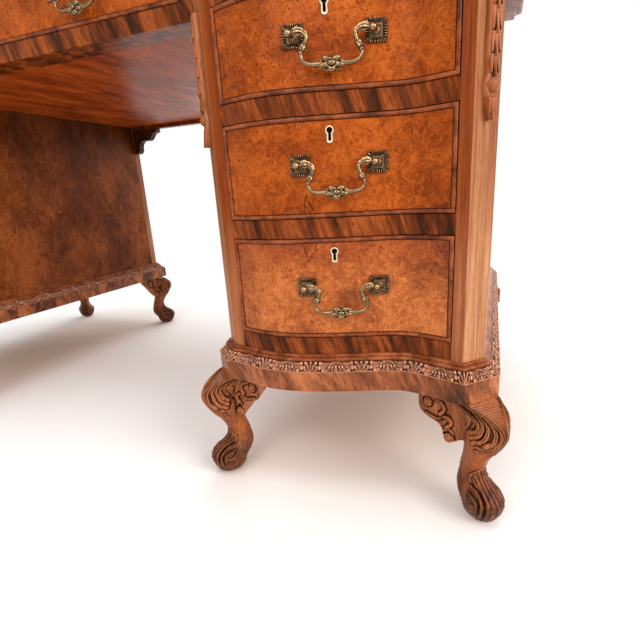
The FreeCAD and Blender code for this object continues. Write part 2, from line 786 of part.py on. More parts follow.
def bail(name, seat, along, height):
    """A swan-neck bail with a flower boss, hanging between its two posts."""
    body = doc.addObject("PartDesign::Body", name)
    half = size("handle_spacing") / 2
    drop = size("bail_drop")
    neck = half - size("ball_radius")
    loop = half - size("bail_loop")
    waist = half - size("bail_waist")
    left = [Vector(-neck, drop), Vector(-loop, drop), Vector(-waist, 0)]
    points = left + [Vector(-point.x, point.y) for point in reversed(left)]
    loop_radius = size("bail_loop_radius")
    corner_radius = size("bail_corner_radius")
    path = sketch_on(body, name + "_path", "XZ_Plane",
                     rounded_path(points, (loop_radius, corner_radius, corner_radius, loop_radius)))
    section = sketch_on(body, name + "_section", "YZ_Plane", [
        Part.Circle(Vector(0, drop), Vector(0, 0, 1), size("bail_radius"))])
    section.AttachmentOffset = Placement(Vector(0, 0, -neck), Rotation())
    pipe = body.newObject("PartDesign::AdditivePipe", name + "_bar")
    pipe.Profile = section
    pipe.Spine = path
    for side, offset in (("left", -neck), ("right", neck)):
        end = sketch_on(body, f"{name}_{side}_pin", "YZ_Plane", [
            Part.Circle(Vector(0, drop), Vector(0, 0, 1), size("pin_radius"))])
        end.AttachmentOffset = Placement(Vector(0, 0, offset), Rotation())
        pin = body.newObject("PartDesign::Pad", f"{name}_{side}_pin_pad")
        pin.Profile = end
        pin.Reversed = side == "left"
        bind(pin, "Length", "ball_radius - pin_tip")
    long = size("flower_length") / 2
    tall = size("flower_radius")
    lens = [Part.Arc(Vector(-long, 0), Vector(0, tall), Vector(long, 0)),
            Part.LineSegment(Vector(long, 0), Vector(-long, 0))]
    flower = sketch_on(body, name + "_flower", "XZ_Plane", lens)
    turned = body.newObject("PartDesign::Revolution", name + "_boss")
    turned.Profile = flower
    turned.ReferenceAxis = (flower, ["H_Axis"])
    middle = seat + outward(along) * size("pivot_reach")
    body.Placement = Placement(middle, Rotation(Vector(1, 0), along))
    bind(body, "Placement.Base.z", f"{height} - bail_drop")
    return body


def escutcheon(name, x, serpentine, height):
    """A keyhole-shaped rim on the drawer face."""
    seat, along = handle_frame(x, serpentine)
    radius = size("escutcheon_radius")
    rim = size("escutcheon_rim")
    length = size("escutcheon_length")

    def keyhole(shrink):
        round_radius = radius - shrink
        foot = radius - length + shrink
        top = [Vector(-round_radius, 0), Vector(0, round_radius), Vector(round_radius, 0)]
        corners = [top[2], Vector(round_radius, foot), Vector(-round_radius, foot), top[0]]
        return [Part.Arc(*top)] + [Part.LineSegment(a, b) for a, b in zip(corners, corners[1:])]

    body = upright(name, keyhole(0) + keyhole(rim), "escutcheon_thickness")
    body.Placement = Placement(seat + outward(along) * size("escutcheon_thickness"),
                               Rotation(Vector(1, 0), along))
    bind(body, "Placement.Base.z", height)
    return body


def drawer_box(name, left, right, near, bottom, height):
    """Sides, back and bottom of a drawer behind its front."""
    far = f"({BACK} - rear_post_depth - drawer_rear_gap)"
    depth = f"({far} - {near})"
    floor = f"({bottom} + runner_gap)"
    inside = f"({right} - {left} - 2 * drawer_side_thickness)"
    side_height = f"({height} - runner_gap - drawer_side_drop)"
    back_bottom = "(drawer_bottom_lift + drawer_bottom_thickness)"
    back_height = f"({side_height} - {back_bottom} - drawer_back_drop)"
    between = f"({left} + drawer_side_thickness)"
    return [
        board(name + "_left", ("drawer_side_thickness", depth, side_height), (left, near, floor)),
        board(name + "_right", ("drawer_side_thickness", depth, side_height),
              (f"{right} - drawer_side_thickness", near, floor)),
        board(name + "_bottom", (inside, depth, "drawer_bottom_thickness"),
              (between, near, f"{floor} + drawer_bottom_lift")),
        board(name + "_back", (inside, "drawer_back_thickness", back_height),
              (between, f"{far} - drawer_back_thickness", f"{floor} + {back_bottom}")),
    ]


def serpentine_front(name, bottom, height):
    """Front board and cock beads of a pedestal drawer."""
    gap = size("drawer_gap")
    bead = size("bead_width")
    depth = size("bead_depth")
    proud = -size("bead_proud")
    left = stile_inner_x + gap
    right = stile_outer_x - gap
    full = f"({height} - 2 * drawer_gap)"
    panel = f"({full} - 2 * bead_width)"
    floor = f"({bottom} + drawer_gap)"
    core = doc.addObject("PartDesign::Body", name + "_core")
    rear = sketch_on(core, name + "_rear", "XY_Plane", face_to_plane(left, right, depth, front_back_y))
    rear_pad = core.newObject("PartDesign::Pad", name + "_rear_pad")
    rear_pad.Profile = rear
    bind(rear_pad, "Length", full)
    face = sketch_on(core, name + "_face", "XY_Plane", face_to_face(left + bead, right - bead, 0, depth))
    bind(face, "AttachmentOffset.Base.z", "bead_width")
    face_pad = core.newObject("PartDesign::Pad", name + "_face_pad")
    face_pad.Profile = face
    bind(face_pad, "Length", panel)
    bind(core, "Placement.Base.z", floor)
    across = face_to_face(left, right, proud, depth)
    beads = [
        slab(name + "_lower_bead", across, "bead_width", floor),
        slab(name + "_upper_bead", across, "bead_width", f"{floor} + {full} - bead_width"),
        slab(name + "_left_bead", face_to_face(left, left + bead, proud, depth), panel,
             f"{floor} + bead_width"),
        slab(name + "_right_bead", face_to_face(right - bead, right, proud, depth), panel,
             f"{floor} + bead_width"),
    ]
    return core, beads


def flat_front(name, left, right, bottom, height):
    """Front board and cock beads of the drawer over the knee space."""
    near = f"({FRONT} + cant_depth)"
    far = f"({near} + centre_front_thickness)"
    full = f"({height} - 2 * drawer_gap)"
    floor = f"({bottom} + drawer_gap)"
    width = f"({right} - {left})"
    rear_depth = "(centre_front_thickness - bead_depth)"
    rear = board(name + "_rear", (width, rear_depth, full), (left, f"{near} + bead_depth", floor))
    face = board(name + "_face", (f"{width} - 2 * bead_width", "bead_depth", f"{full} - 2 * bead_width"),
                 (f"{left} + bead_width", near, f"{floor} + bead_width"))
    core = doc.addObject("Part::Fuse", name + "_core")
    core.Base = rear
    core.Tool = face
    core.Refine = True
    proud = f"({near} - bead_proud)"
    depth = "(bead_depth + bead_proud)"
    panel = f"({full} - 2 * bead_width)"
    beads = [
        board(name + "_lower_bead", (width, depth, "bead_width"), (left, proud, floor)),
        board(name + "_upper_bead", (width, depth, "bead_width"),
              (left, proud, f"{floor} + {full} - bead_width")),
        board(name + "_left_bead", ("bead_width", depth, panel), (left, proud, f"{floor} + bead_width")),
        board(name + "_right_bead", ("bead_width", depth, panel),
              (f"{right} - bead_width", proud, f"{floor} + bead_width")),
    ]
    return core, beads, far


def fitted_front(name, core, beads, seats, holes):
    """A drawer front with its fittings let in."""
    seated = cut(name + "_seated", core, seats)
    return group(name + "_front", [cut(name + "_bored", seated, holes)] + beads)


def fittings(name, places, lock_x, lock_at, serpentine, bottom, height):
    """Handle posts, nuts, escutcheon and lock of a drawer, with the seats and holes that they need."""
    level = f"({bottom} + {height} / 2 + handle_lift)"
    back = FRONT_BACK if serpentine else f"({FRONT} + cant_depth + centre_front_thickness)"
    ahead = front_y - size("bulge")
    pieces = []
    plates = []
    holes = []
    bails = []
    for count, x in enumerate(places):
        seat, along = handle_frame(x, serpentine)
        pivots = handle_pivots(seat, along)
        for side, pivot, inward in (("left", pivots[0], along), ("right", pivots[1], -along)):
            label = f"{name}_{side}{count}"
            holder, plate = post(label + "_post", pivot, inward, serpentine, level)
            plates.append(plate)
            pieces.append(holder)
            pieces.append(nut(label + "_nut", pivot, serpentine, level))
            start = Vector(handle_frame(pivot.x, serpentine)[0].x, ahead)
            holes.append(rod(label + "_hole", "shank_radius + shank_gap", size("carcass_depth"), start,
                             BACKWARD, level))
        bails.append(bail(f"{name}_bail{count}", seat, along, level))
    pieces.append(escutcheon(name + "_escutcheon", lock_x, serpentine, f"{bottom} + {height} - keyhole_drop"))
    top = f"({bottom} + {height} - drawer_gap - lock_drop)"
    lock = board(name + "_lock", ("lock_width", "lock_thickness", "lock_height"),
                 (f"{lock_at} - lock_width / 2", f"{back} - lock_thickness", f"{top} - lock_height"))
    pieces.append(lock)
    return pieces, group(name + "_seats", plates), group(name + "_holes", holes + [lock]), bails


def pedestal_drawers():
    """The drawers of both pedestals."""
    middle = (inner_x + outer_x) / 2
    left = f"({STILE_INNER} + drawer_gap)"
    right = f"({STILE_OUTER} - drawer_gap)"
    for name, bottom, height in STACK:
        label = name + "_drawer"
        core, beads = serpentine_front(label, bottom, height)
        pieces, seats, holes, bails = fittings(label, [middle + size("handle_shift")], middle, PEDESTAL_MIDDLE,
                                               True, bottom, height)
        pair(label + "_front", fitted_front(label, core, beads, seats, holes))
        box = drawer_box(label, left, right, FRONT_BACK, bottom, height)
        pair(label + "_box", group(label + "_box", box))
        pair(label + "_hardware", group(label + "_hardware", pieces))
        pair(label + "_bail", bails[0])


def centre_drawer():
    """The wide drawer over the knee space."""
    right = f"({INNER} - kneehole_stile - drawer_gap)"
    left = f"(0 - {right})"
    height = "top_drawer_height"
    label = "centre_drawer"
    core, beads, far = flat_front(label, left, right, TOP_ROW, height)
    place_x = size("centre_handle_place")
    pieces, seats, holes, bails = fittings(label, [-place_x, place_x], 0, "0", False, TOP_ROW, height)
    node(label + "_front", fitted_front(label, core, beads, seats, holes))
    node(label + "_box", group(label + "_box", drawer_box(label, left, right, far, TOP_ROW, height)))
    node(label + "_hardware", group(label + "_hardware", pieces))
    node(label + "_left_bail", bails[0])
    node(label + "_right_bail", bails[1])


pedestal_carcass()
drawer_supports()
base()
legs()
writing_top()
knee_space()
corner_drops()
pedestal_drawers()
centre_drawer()
doc.recompute()

failed = [item.Label for item in doc.Objects if "Invalid" in item.State or "Error" in item.State]
failed += [item.Label for item in nodes if item.Shape.isNull() or not item.Shape.isValid()]
if failed:
    raise RuntimeError("not built: " + ", ".join(failed))
os.makedirs("parts", exist_ok=True)
for item in nodes:
    item.Shape.exportStep(f"parts/{item.Label}.step")
    print(item.Label, len(item.Shape.Solids), round(item.Shape.Volume))
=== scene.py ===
import math

import bmesh
import bpy
import numpy as np
from mathutils import Matrix, Vector


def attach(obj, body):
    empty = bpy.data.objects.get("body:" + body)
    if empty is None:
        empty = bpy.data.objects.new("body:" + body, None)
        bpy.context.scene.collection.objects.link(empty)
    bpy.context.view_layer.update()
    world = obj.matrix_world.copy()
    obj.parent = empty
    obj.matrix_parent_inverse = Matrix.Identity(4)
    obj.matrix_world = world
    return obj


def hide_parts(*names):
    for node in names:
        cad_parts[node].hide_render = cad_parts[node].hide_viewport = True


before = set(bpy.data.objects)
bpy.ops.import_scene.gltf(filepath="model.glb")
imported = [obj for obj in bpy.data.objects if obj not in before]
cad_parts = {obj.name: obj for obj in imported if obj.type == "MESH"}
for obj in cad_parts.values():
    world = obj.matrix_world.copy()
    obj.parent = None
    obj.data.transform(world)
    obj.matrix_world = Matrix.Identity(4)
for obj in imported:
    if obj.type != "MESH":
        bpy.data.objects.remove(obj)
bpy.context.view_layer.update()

scene = bpy.context.scene
MM = 0.001
TAU = 2 * math.pi
SHARP_ANGLE = math.radians(40)

# Main measures of the desk in millimetres, as in the part's source
INNER_X, OUTER_X = 343.5, 703.5
MIDDLE_X = (INNER_X + OUTER_X) / 2
FRONT_Y, BACK_Y = -328.0, 344.0
CANT_W, CANT_D = 24.3, 25.2
FACE_START, FACE_END = INNER_X + CANT_W, OUTER_X - CANT_W
BULGE, HOLLOW = 16.0, 20.5
STILE_W = 14.1
CARCASS_TOP = 751.5
# Rows of drawers: bottom and height
ROWS = {"lower": (228.5, 129.0), "middle": (380.5, 115.0), "upper": (518.5, 105.0), "top": (646.5, 90.0)}
FRONT_BACK_Y = FRONT_Y + 34.5
FRONT_PLAY = 1.0
CENTRE_FACE_Y = FRONT_Y + CANT_D
CENTRE_BACK_Y = CENTRE_FACE_Y + 22.0
CENTRE_END_X = INNER_X - 20.0
HANDLE_HALF, HANDLE_OUT, HANDLE_UP, HANDLE_ASIDE = 45.3, 11.0, 3.5, 5.5
CENTRE_HANDLE_X = 165.0
PLATE_HALF = 12.8
BALL = 4.2
KEYHOLE_DROP, LOCK_DROP = 17.0, 7.0
LEG_H, LEG_THROW, LEG_GIRTH = 160.0, 25.0, 34.0
REAR_LEG_IN = 14.3
PLINTH_TOP, PLINTH_OUT = 187.0, 18.0
EAR_REACH, EAR_SETBACK, EAR_BACK = 60.5, 8.0, 20.0
DROP_LENGTH, DROP_OUT, DROP_UNDER = 150.0, 6.0, 23.0
BRACKET_T, BRACKET_TOP = 18.0, 614.0
TOP_MIDDLE = np.array((0.0, (FRONT_Y + BACK_Y) / 2))
TOP_T, TOP_RECESS = 27.0, 20.0
TOP_FRONT_SHARES = ((1.0, 0.05), (0.55, 0.72))
LEATHER_MARGIN, LEATHER_BED = 62.0, 1.5
BED_X, BED_Y = OUTER_X - LEATHER_MARGIN, (BACK_Y - FRONT_Y) / 2 - LEATHER_MARGIN


# Curves and small helpers

def spline(xs, ys):
    """Natural cubic spline through points; the ends go on flat."""
    xs = np.asarray(xs, float)
    ys = np.asarray(ys, float)
    count = len(xs)
    step = np.diff(xs)
    slope = np.diff(ys) / step
    system = np.eye(count)
    right = np.zeros(count)
    for i in range(1, count - 1):
        system[i, i - 1:i + 2] = step[i - 1], 2 * (step[i - 1] + step[i]), step[i]
        right[i] = 6 * (slope[i] - slope[i - 1])
    bend = np.linalg.solve(system, right)

    def value(x):
        x = np.clip(np.asarray(x, float), xs[0], xs[-1])
        i = np.clip(np.searchsorted(xs, x) - 1, 0, count - 2)
        t = x - xs[i]
        first = slope[i] - step[i] * (2 * bend[i] + bend[i + 1]) / 6
        return ys[i] + t * (first + t * (bend[i] / 2 + t * (bend[i + 1] - bend[i]) / (6 * step[i])))

    return value


def lengths(line):
    """How far along a polyline each of its points is."""
    return np.concatenate([[0], np.cumsum(np.linalg.norm(np.diff(line, axis=0), axis=1))])


def path_through(points, count):
    """Points at even distances along a smooth line through points."""
    points = np.asarray(points, float)
    chord = lengths(points)
    curves = [spline(chord, values) for values in points.T]
    fine = np.linspace(0, chord[-1], 40 * len(points))

    def places(at):
        return np.stack([curve(at) for curve in curves], -1)

    run = lengths(places(fine))
    return places(np.interp(np.linspace(0, run[-1], count), run, fine))


def steps(*parts):
    """Even steps through stretches that follow each other: start, end and number of points of each."""
    return np.concatenate([np.linspace(*part)[:-1] for part in parts] + [[parts[-1][1]]])


def circle(count):
    """Even turns round a circle."""
    return np.arange(count) * TAU / count


def unit(vectors):
    return vectors / np.linalg.norm(vectors, axis=-1, keepdims=True)


def smooth_step(low, high, x):
    t = np.clip((x - low) / (high - low), 0, 1)
    return t * t * (3 - 2 * t)


def bump(x, width):
    return np.exp(-(x / width) ** 2)


def swell(x, power=0.5):
    """A round hump: one in the middle, zero from x = 1 on."""
    return np.clip(1 - x ** 2, 0, 1) ** power


def at_depth(points, y):
    """The same points at another depth."""
    copy = points.copy()
    copy[..., 1] = y
    return copy


def distance_to(line, x, y):
    """Distance from points to a polyline, and how far along it the nearest point is."""
    best = np.full(np.shape(x), 1e9)
    where = np.zeros(np.shape(x))
    ends = lengths(line)
    for i in range(len(line) - 1):
        ax, ay = line[i]
        dx, dy = line[i + 1] - line[i]
        t = np.clip(((x - ax) * dx + (y - ay) * dy) / (dx * dx + dy * dy), 0, 1)
        gap = np.hypot(x - ax - t * dx, y - ay - t * dy)
        near = gap < best
        best = np.where(near, gap, best)
        where = np.where(near, ends[i] + t * (ends[i + 1] - ends[i]), where)
    return best, where / ends[-1]


class Shape:
    """Points in millimetres and faces with a material number, gathered into one mesh."""

    def __init__(self):
        self.points, self.faces, self.kinds, self.count = [], [], [], 0

    def add(self, points, faces, kinds):
        self.points.append(np.asarray(points, float).reshape(-1, 3))
        self.faces += [[self.count + i for i in face] for face in faces]
        self.kinds += kinds
        self.count += len(self.points[-1])
        return self

    def join(self, other):
        return self.add(other.array(), other.faces, other.kinds)

    def grid(self, points, kind=0, ring=False):
        """Quads over rows of points; the rows of a ring close on themselves."""
        points = np.asarray(points)
        rows, columns = points.shape[:2]
        across = columns if ring else columns - 1
        row, column = np.meshgrid(np.arange(rows - 1), np.arange(across), indexing="ij")
        after = (column + 1) % columns
        here, above = row * columns, (row + 1) * columns
        quads = np.stack([here + column, above + column, above + after, here + after], -1).reshape(-1, 4)
        return self.add(points, quads.tolist(), [kind] * len(quads))

    def cap(self, ring, kind=0, turned=False):
        """One flat face over a ring of points."""
        order = range(len(ring))
        return self.add(ring, [order[::-1] if turned else order], [kind])

    def tube(self, line, radii, sides, up=(0, 1, 0)):
        """A round bar along a line, with its own radius at each point."""
        along = unit(np.gradient(line, axis=0))
        side = unit(np.cross(up, along))
        top = np.cross(along, side)
        turn = circle(sides)[:, None]
        ring = side[:, None] * np.cos(turn) + top[:, None] * np.sin(turn)
        points = line[:, None] + ring * np.reshape(radii, (len(line), -1, 1))
        return self.grid(points, ring=True).cap(points[0]).cap(points[-1], turned=True)

    def ball(self, centre, radii, turns, rows):
        up = np.linspace(0, math.pi, rows + 1)
        turn = circle(turns)
        points = np.stack([np.outer(np.sin(up), np.cos(turn)), np.outer(np.sin(up), np.sin(turn)),
                           np.outer(np.cos(up), np.ones(turns))], -1)
        return self.grid(np.asarray(centre) + points * np.asarray(radii), ring=True)

    def array(self):
        return np.concatenate(self.points)

    def placed(self, origin, along, inward):
        """The same shape moved, with its X and Y axes turned to two directions in plan."""
        turn = np.array([(*along, 0), (*inward, 0), (0, 0, 1)], float)
        faces = self.faces if np.linalg.det(turn) > 0 else [face[::-1] for face in self.faces]
        return Shape().add(self.array() @ turn + np.asarray(origin, float), faces, self.kinds)

    def mirrored(self):
        return self.placed((0, 0, 0), (-1, 0), (0, 1))

    def build(self, name, body, slot, materials, node_name):
        """The piece itself, on its body and in place of its CAD node."""
        mesh = bpy.data.meshes.new(name)
        mesh.from_pydata((self.array() * MM).tolist(), [], self.faces)
        for material in materials:
            mesh.materials.append(material)
        mesh.polygons.foreach_set("material_index", self.kinds)
        skin = bmesh.new()
        skin.from_mesh(mesh)
        bmesh.ops.remove_doubles(skin, verts=skin.verts, dist=1e-6)
        bmesh.ops.recalc_face_normals(skin, faces=skin.faces)
        skin.to_mesh(mesh)
        skin.free()
        mesh.shade_smooth()
        mesh.set_sharp_from_angle(angle=SHARP_ANGLE)
        piece = bpy.data.objects.new(name, mesh)
        scene.collection.objects.link(piece)
        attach(piece, body)
        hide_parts(node_name)


# Plan of the serpentine front: share of the width, share of the bulge (or of the hollow, below zero)

FRONT_SHARES = ((0.0, 0.0), (0.05, 0.10), (0.14, 0.62), (0.27, 1.0), (0.38, 0.78), (0.51, 0.10),
                (0.62, -0.45), (0.72, -0.90), (0.785, -1.0), (0.85, -0.78), (0.93, -0.36), (1.0, 0.0))
face_line = np.array([(FACE_START + s * (FACE_END - FACE_START), FRONT_Y - k * (BULGE if k > 0 else HOLLOW))
                      for s, k in FRONT_SHARES])
face_dense = path_through(face_line, 800)


def face_y(x):
    return np.interp(x, face_dense[:, 0], face_dense[:, 1])


def face_along(x):
    """Unit direction of the serpentine front at x, and the direction that faces out of it."""
    slope = (face_y(x + 1.0) - face_y(x - 1.0)) / 2.0
    along = np.array((1.0, float(slope))) / math.hypot(1.0, float(slope))
    return along, np.array((along[1], -along[0]))


def facing_of(direction):
    """The side of a plan direction that faces out, walking from the inner side round the front."""
    x, y = np.asarray(direction, float) / np.linalg.norm(direction)
    return np.array((y, -x))


def mitre(corner, before, after, overhang):
    first, second = facing_of(before), facing_of(after)
    return np.asarray(corner) + (first + second) * (overhang / (1 + first @ second))


def front_corners(overhang):
    """Plan corners of a pedestal's front, moved out: inner side, curve start, curve end, outer side."""
    first, last = face_dense[0], face_dense[-1]
    start_way, end_way = face_dense[1] - first, last - face_dense[-2]
    inner_cant, outer_cant = np.array((CANT_W, -CANT_D)), np.array((CANT_W, CANT_D))
    return (mitre(first - inner_cant, (0, -1), inner_cant, overhang),
            mitre(first, inner_cant, start_way, overhang),
            mitre(last, end_way, outer_cant, overhang),
            mitre(last + outer_cant, outer_cant, (0, 1), overhang))


def face_moved(points, overhang):
    return np.array([point + face_along(point[0])[1] * overhang for point in points])


# Materials. Lengths are in metres here, and a noise's scale is per metre.

# Strength of the mirror-like part of polished wood
POLISH = 0.2


def feed(tree, socket, value):
    """Set an input to a value, or link it to another node's output."""
    if isinstance(value, bpy.types.NodeSocket):
        tree.links.new(value, socket)
    else:
        socket.default_value = value


def node(tree, kind, settings=None, **sockets):
    """A shader node with its settings and inputs; an input goes by its name, or as i and its number."""
    made = tree.nodes.new("ShaderNode" + kind)
    for key, value in (settings or {}).items():
        setattr(made, key, value)
    for key, value in sockets.items():
        feed(tree, made.inputs[int(key[1:]) if key[1:].isdigit() else key.replace("_", " ")], value)
    return made


def shade(colour, by):
    return tuple(c * by for c in colour)


class Stuff:
    """A procedural material under construction."""

    def __init__(self, name):
        self.material = bpy.data.materials.new(name)
        self.material.use_nodes = True
        self.tree = self.material.node_tree
        self.shader = next(n for n in self.tree.nodes if n.type == "BSDF_PRINCIPLED")
        self.place = self.get("TexCoord", "Object")

    def get(self, kind, output=0, settings=None, **sockets):
        """One output of a new node."""
        return node(self.tree, kind, settings, **sockets).outputs[output]

    def scaled(self, scale, turn=(0, 0, 0), place=None):
        """Places turned, then stretched."""
        turned = self.get("Mapping", Vector=place or self.place, Rotation=turn)
        return self.get("Mapping", Vector=turned, Scale=scale)

    def vectors(self, how, a, **sockets):
        return self.get("VectorMath", 0, {"operation": how}, i0=a, **sockets)

    def noise(self, place, scale, detail=3.0, rough=0.5, warp=0.0, output="Fac"):
        return self.get("TexNoise", output, Vector=place, Scale=scale, Detail=detail, Roughness=rough,
                        Distortion=warp)

    def swirled(self, place, scale, amount, detail=2.0):
        """Places pushed about by a noise."""
        colour = self.noise(place, scale, detail, output="Color")
        centred = self.vectors("SUBTRACT", colour, i1=(0.5, 0.5, 0.5))
        return self.vectors("ADD", place, i1=self.vectors("SCALE", centred, Scale=amount))

    def cells(self, place, scale):
        return node(self.tree, "TexVoronoi", Vector=place, Scale=scale).outputs

    def axes(self, place=None):
        return node(self.tree, "SeparateXYZ", Vector=place or self.place).outputs

    def ridges(self):
        return self.get("NewGeometry", "Pointiness")

    def open_air(self, reach, local=True):
        """How open a place is: one on a ridge, falling to zero deep in a hollow.

        Local counts only the piece itself, and otherwise all that is near."""
        return self.get("AmbientOcclusion", "AO", {"samples": 8, "only_local": local}, Distance=reach)

    def maths(self, how, a, b=0.0):
        return self.get("Math", 0, {"operation": how}, i0=a, i1=b)

    def plus(self, a, b):
        return self.maths("ADD", a, b)

    def minus(self, a, b):
        return self.maths("SUBTRACT", a, b)

    def times(self, a, b):
        return self.maths("MULTIPLY", a, b)

    def off(self, a, b):
        """How far a value is from another."""
        return self.maths("ABSOLUTE", self.minus(a, b))

    def ramp(self, value, *stops):
        made = node(self.tree, "ValToRGB", Fac=value)
        keys = made.color_ramp.elements
        while len(keys) < len(stops):
            keys.new(0.5)
        for key, (at, colour) in zip(keys, stops):
            key.position = at
            key.color = (*colour, 1)
        return made.outputs["Color"]

    def level(self, value, low, high, start=0.0, end=1.0):
        """Goes smoothly from start to end as the value goes from low to high."""
        return self.get("MapRange", 0, {"interpolation_type": "SMOOTHSTEP"}, Value=value, From_Min=low,
                        From_Max=high, To_Min=start, To_Max=end)

    def mix(self, amount, a, b, how="MIX"):
        a, b = ((*colour, 1) if isinstance(colour, tuple) else colour for colour in (a, b))
        return self.get("Mix", 2, {"data_type": "RGBA", "blend_type": how}, i0=amount, i6=a, i7=b)

    def stain_and_shade(self, colour, value, low, high, most, stain):
        """A colour under another one, which goes from none to most as the value goes from low to high: a real
        stain at some calls, painted shade at others.
        """
        return self.mix(self.level(value, low, high, 0.0, most), colour, stain)

    def shine(self, value, rough):
        """Roughness between two values, by a noise."""
        return self.level(value, 0.3, 0.7, *rough)

    def painted_by_height(self, colour, low, high, low_tint, high_tint):
        """A colour in one tint below a height, and in another above a higher one: painted light and shade by
        height.
        """
        tint = self.mix(self.level(self.axes()["Z"], low, high), low_tint, high_tint)
        return self.mix(1.0, colour, tint, "MULTIPLY")

    def bumped(self, height, strength, distance):
        return self.get("Bump", Height=height, Strength=strength, Distance=distance)

    def done(self, **sockets):
        for key, value in sockets.items():
            feed(self.tree, self.shader.inputs[key.replace("_", " ")], value)
        return self.material


def burr(name, dark, middle, light, seed, blotch=0.34, polish=POLISH, cracks=(), stretch=(1, 0.35, 1),
         painted_shade_reach=0.0, painted_light_by_height=None):
    """Burr veneer: swirling figure, clusters of small dark eyes, fine pores and old cracks under a polish.

    Painted shade darkens the colour where something within the given reach keeps the light off, as under the
    top."""
    s = Stuff(name)
    turned = s.swirled(s.vectors("ADD", s.scaled(stretch), i1=(seed, 0, seed * 2)), 30.0, 0.022)
    curled = s.swirled(turned, 150.0, 0.005)
    broad = s.noise(turned, 15.0, 3.0, 0.6)
    mottle = s.noise(curled, 300.0, 4.0, 0.72)
    figure = s.noise(turned, 85.0, 4.0, 0.62, 1.0)
    knot = s.cells(turned, 34.0)
    chosen = s.level(s.get("SeparateColor", "Red", Color=knot["Color"]), 0.45, 0.55)
    wave = s.maths("SINE", s.plus(s.times(knot["Distance"], 52.0), s.times(figure, 9.0)))
    knots = s.times(s.times(wave, chosen), s.level(knot["Distance"], 0.42, 0.12, 0.0, 0.035))
    small = s.plus(s.times(figure, 0.55 * (1.0 - blotch)), s.times(mottle, 0.45 * (1.0 - blotch)))
    tone = s.plus(s.plus(s.times(broad, blotch), small), knots)
    colour = s.ramp(tone, (0.40, dark), (0.495, middle), (0.585, light))
    fibre = s.noise(s.scaled((620, 620, 260), place=curled), 1.0, 3.0, 0.7)
    colour = s.stain_and_shade(colour, fibre, 0.46, 0.66, 0.55, shade(middle, 0.5))
    eyes = s.cells(curled, 240.0)["Distance"]
    cluster = s.level(s.noise(turned, 30.0, 2.0), 0.47, 0.62)
    eye = s.times(s.level(eyes, 0.32, 0.10), cluster)
    colour = s.mix(s.times(eye, 0.9), colour, shade(dark, 0.35))
    ring = s.times(s.level(s.off(eyes, 0.40), 0.12, 0.0), cluster)
    colour = s.mix(s.times(ring, 0.30), colour, shade(light, 1.3))
    across = s.axes(s.swirled(s.place, 160.0, 0.006, 3.0))
    fray = 0.001
    for x_top, z_top, x_low, z_low in cracks:
        lean = (x_top - x_low) / (z_top - z_low)
        off = s.off(s.minus(across["X"], s.times(across["Z"], lean)), x_low - lean * z_low)
        part = s.times(s.level(across["Z"], z_low - fray, z_low + fray),
                       s.level(across["Z"], z_top + fray, z_top - fray))
        crack = s.times(s.level(off, 0.0011, 0.0003), part)
        colour = s.mix(s.times(crack, 0.8), colour, shade(dark, 0.25))
    # Painted light and shade by height: one tint below a height, another above
    if painted_light_by_height:
        colour = s.painted_by_height(colour, *painted_light_by_height)
    # Painted shade from how open the place is to all pieces near, as under the top
    if painted_shade_reach:
        colour = s.stain_and_shade(colour, s.open_air(painted_shade_reach, False), 0.86, 0.46, 0.72, shade(dark, 0.3))
    relief = s.plus(s.times(mottle, 0.5), s.times(fibre, 0.5))
    return s.done(Base_Color=colour, Roughness=s.shine(mottle, (0.26, 0.38)),
                  Normal=s.bumped(relief, 0.10, 0.0008), Specular_IOR_Level=polish)


def straight(name, dark, middle, light, stretch, seed, streak=0.6, turn=(0, 0, 0), rough=(0.27, 0.40),
             polish=POLISH, front=None, sides=None):
    """Straight-grained walnut: streaks along one axis, darker lines and pores.

    With tints for them, what faces the front and what faces the sides gets painted light and shade by height."""
    s = Stuff(name)
    moved = s.vectors("ADD", s.scaled(stretch, turn), i1=(seed, seed, seed))
    wobble = s.swirled(moved, 0.6, 0.8)
    bands = s.noise(wobble, 1.0, 4.0, 0.6)
    lines = s.noise(wobble, 3.6, 3.0, 0.65)
    tone = s.plus(s.times(bands, streak), s.times(lines, 1.0 - streak))
    colour = s.ramp(tone, (0.39, dark), (0.50, middle), (0.60, light))
    pores = s.noise(wobble, 14.0, 2.0, 0.6)
    colour = s.stain_and_shade(colour, pores, 0.52, 0.70, 0.55, shade(dark, 0.5))
    # Painted light and shade: tints by height, one set for what faces the front, one for the sides
    if front:
        facing = s.level(s.axes(s.get("TexCoord", "Normal"))["Y"], -0.86, -0.97)
        colour = s.mix(facing, s.painted_by_height(colour, *sides), s.painted_by_height(colour, *front))
    return s.done(Base_Color=colour, Roughness=s.shine(lines, rough),
                  Normal=s.bumped(pores, 0.08, 0.0006), Specular_IOR_Level=polish)


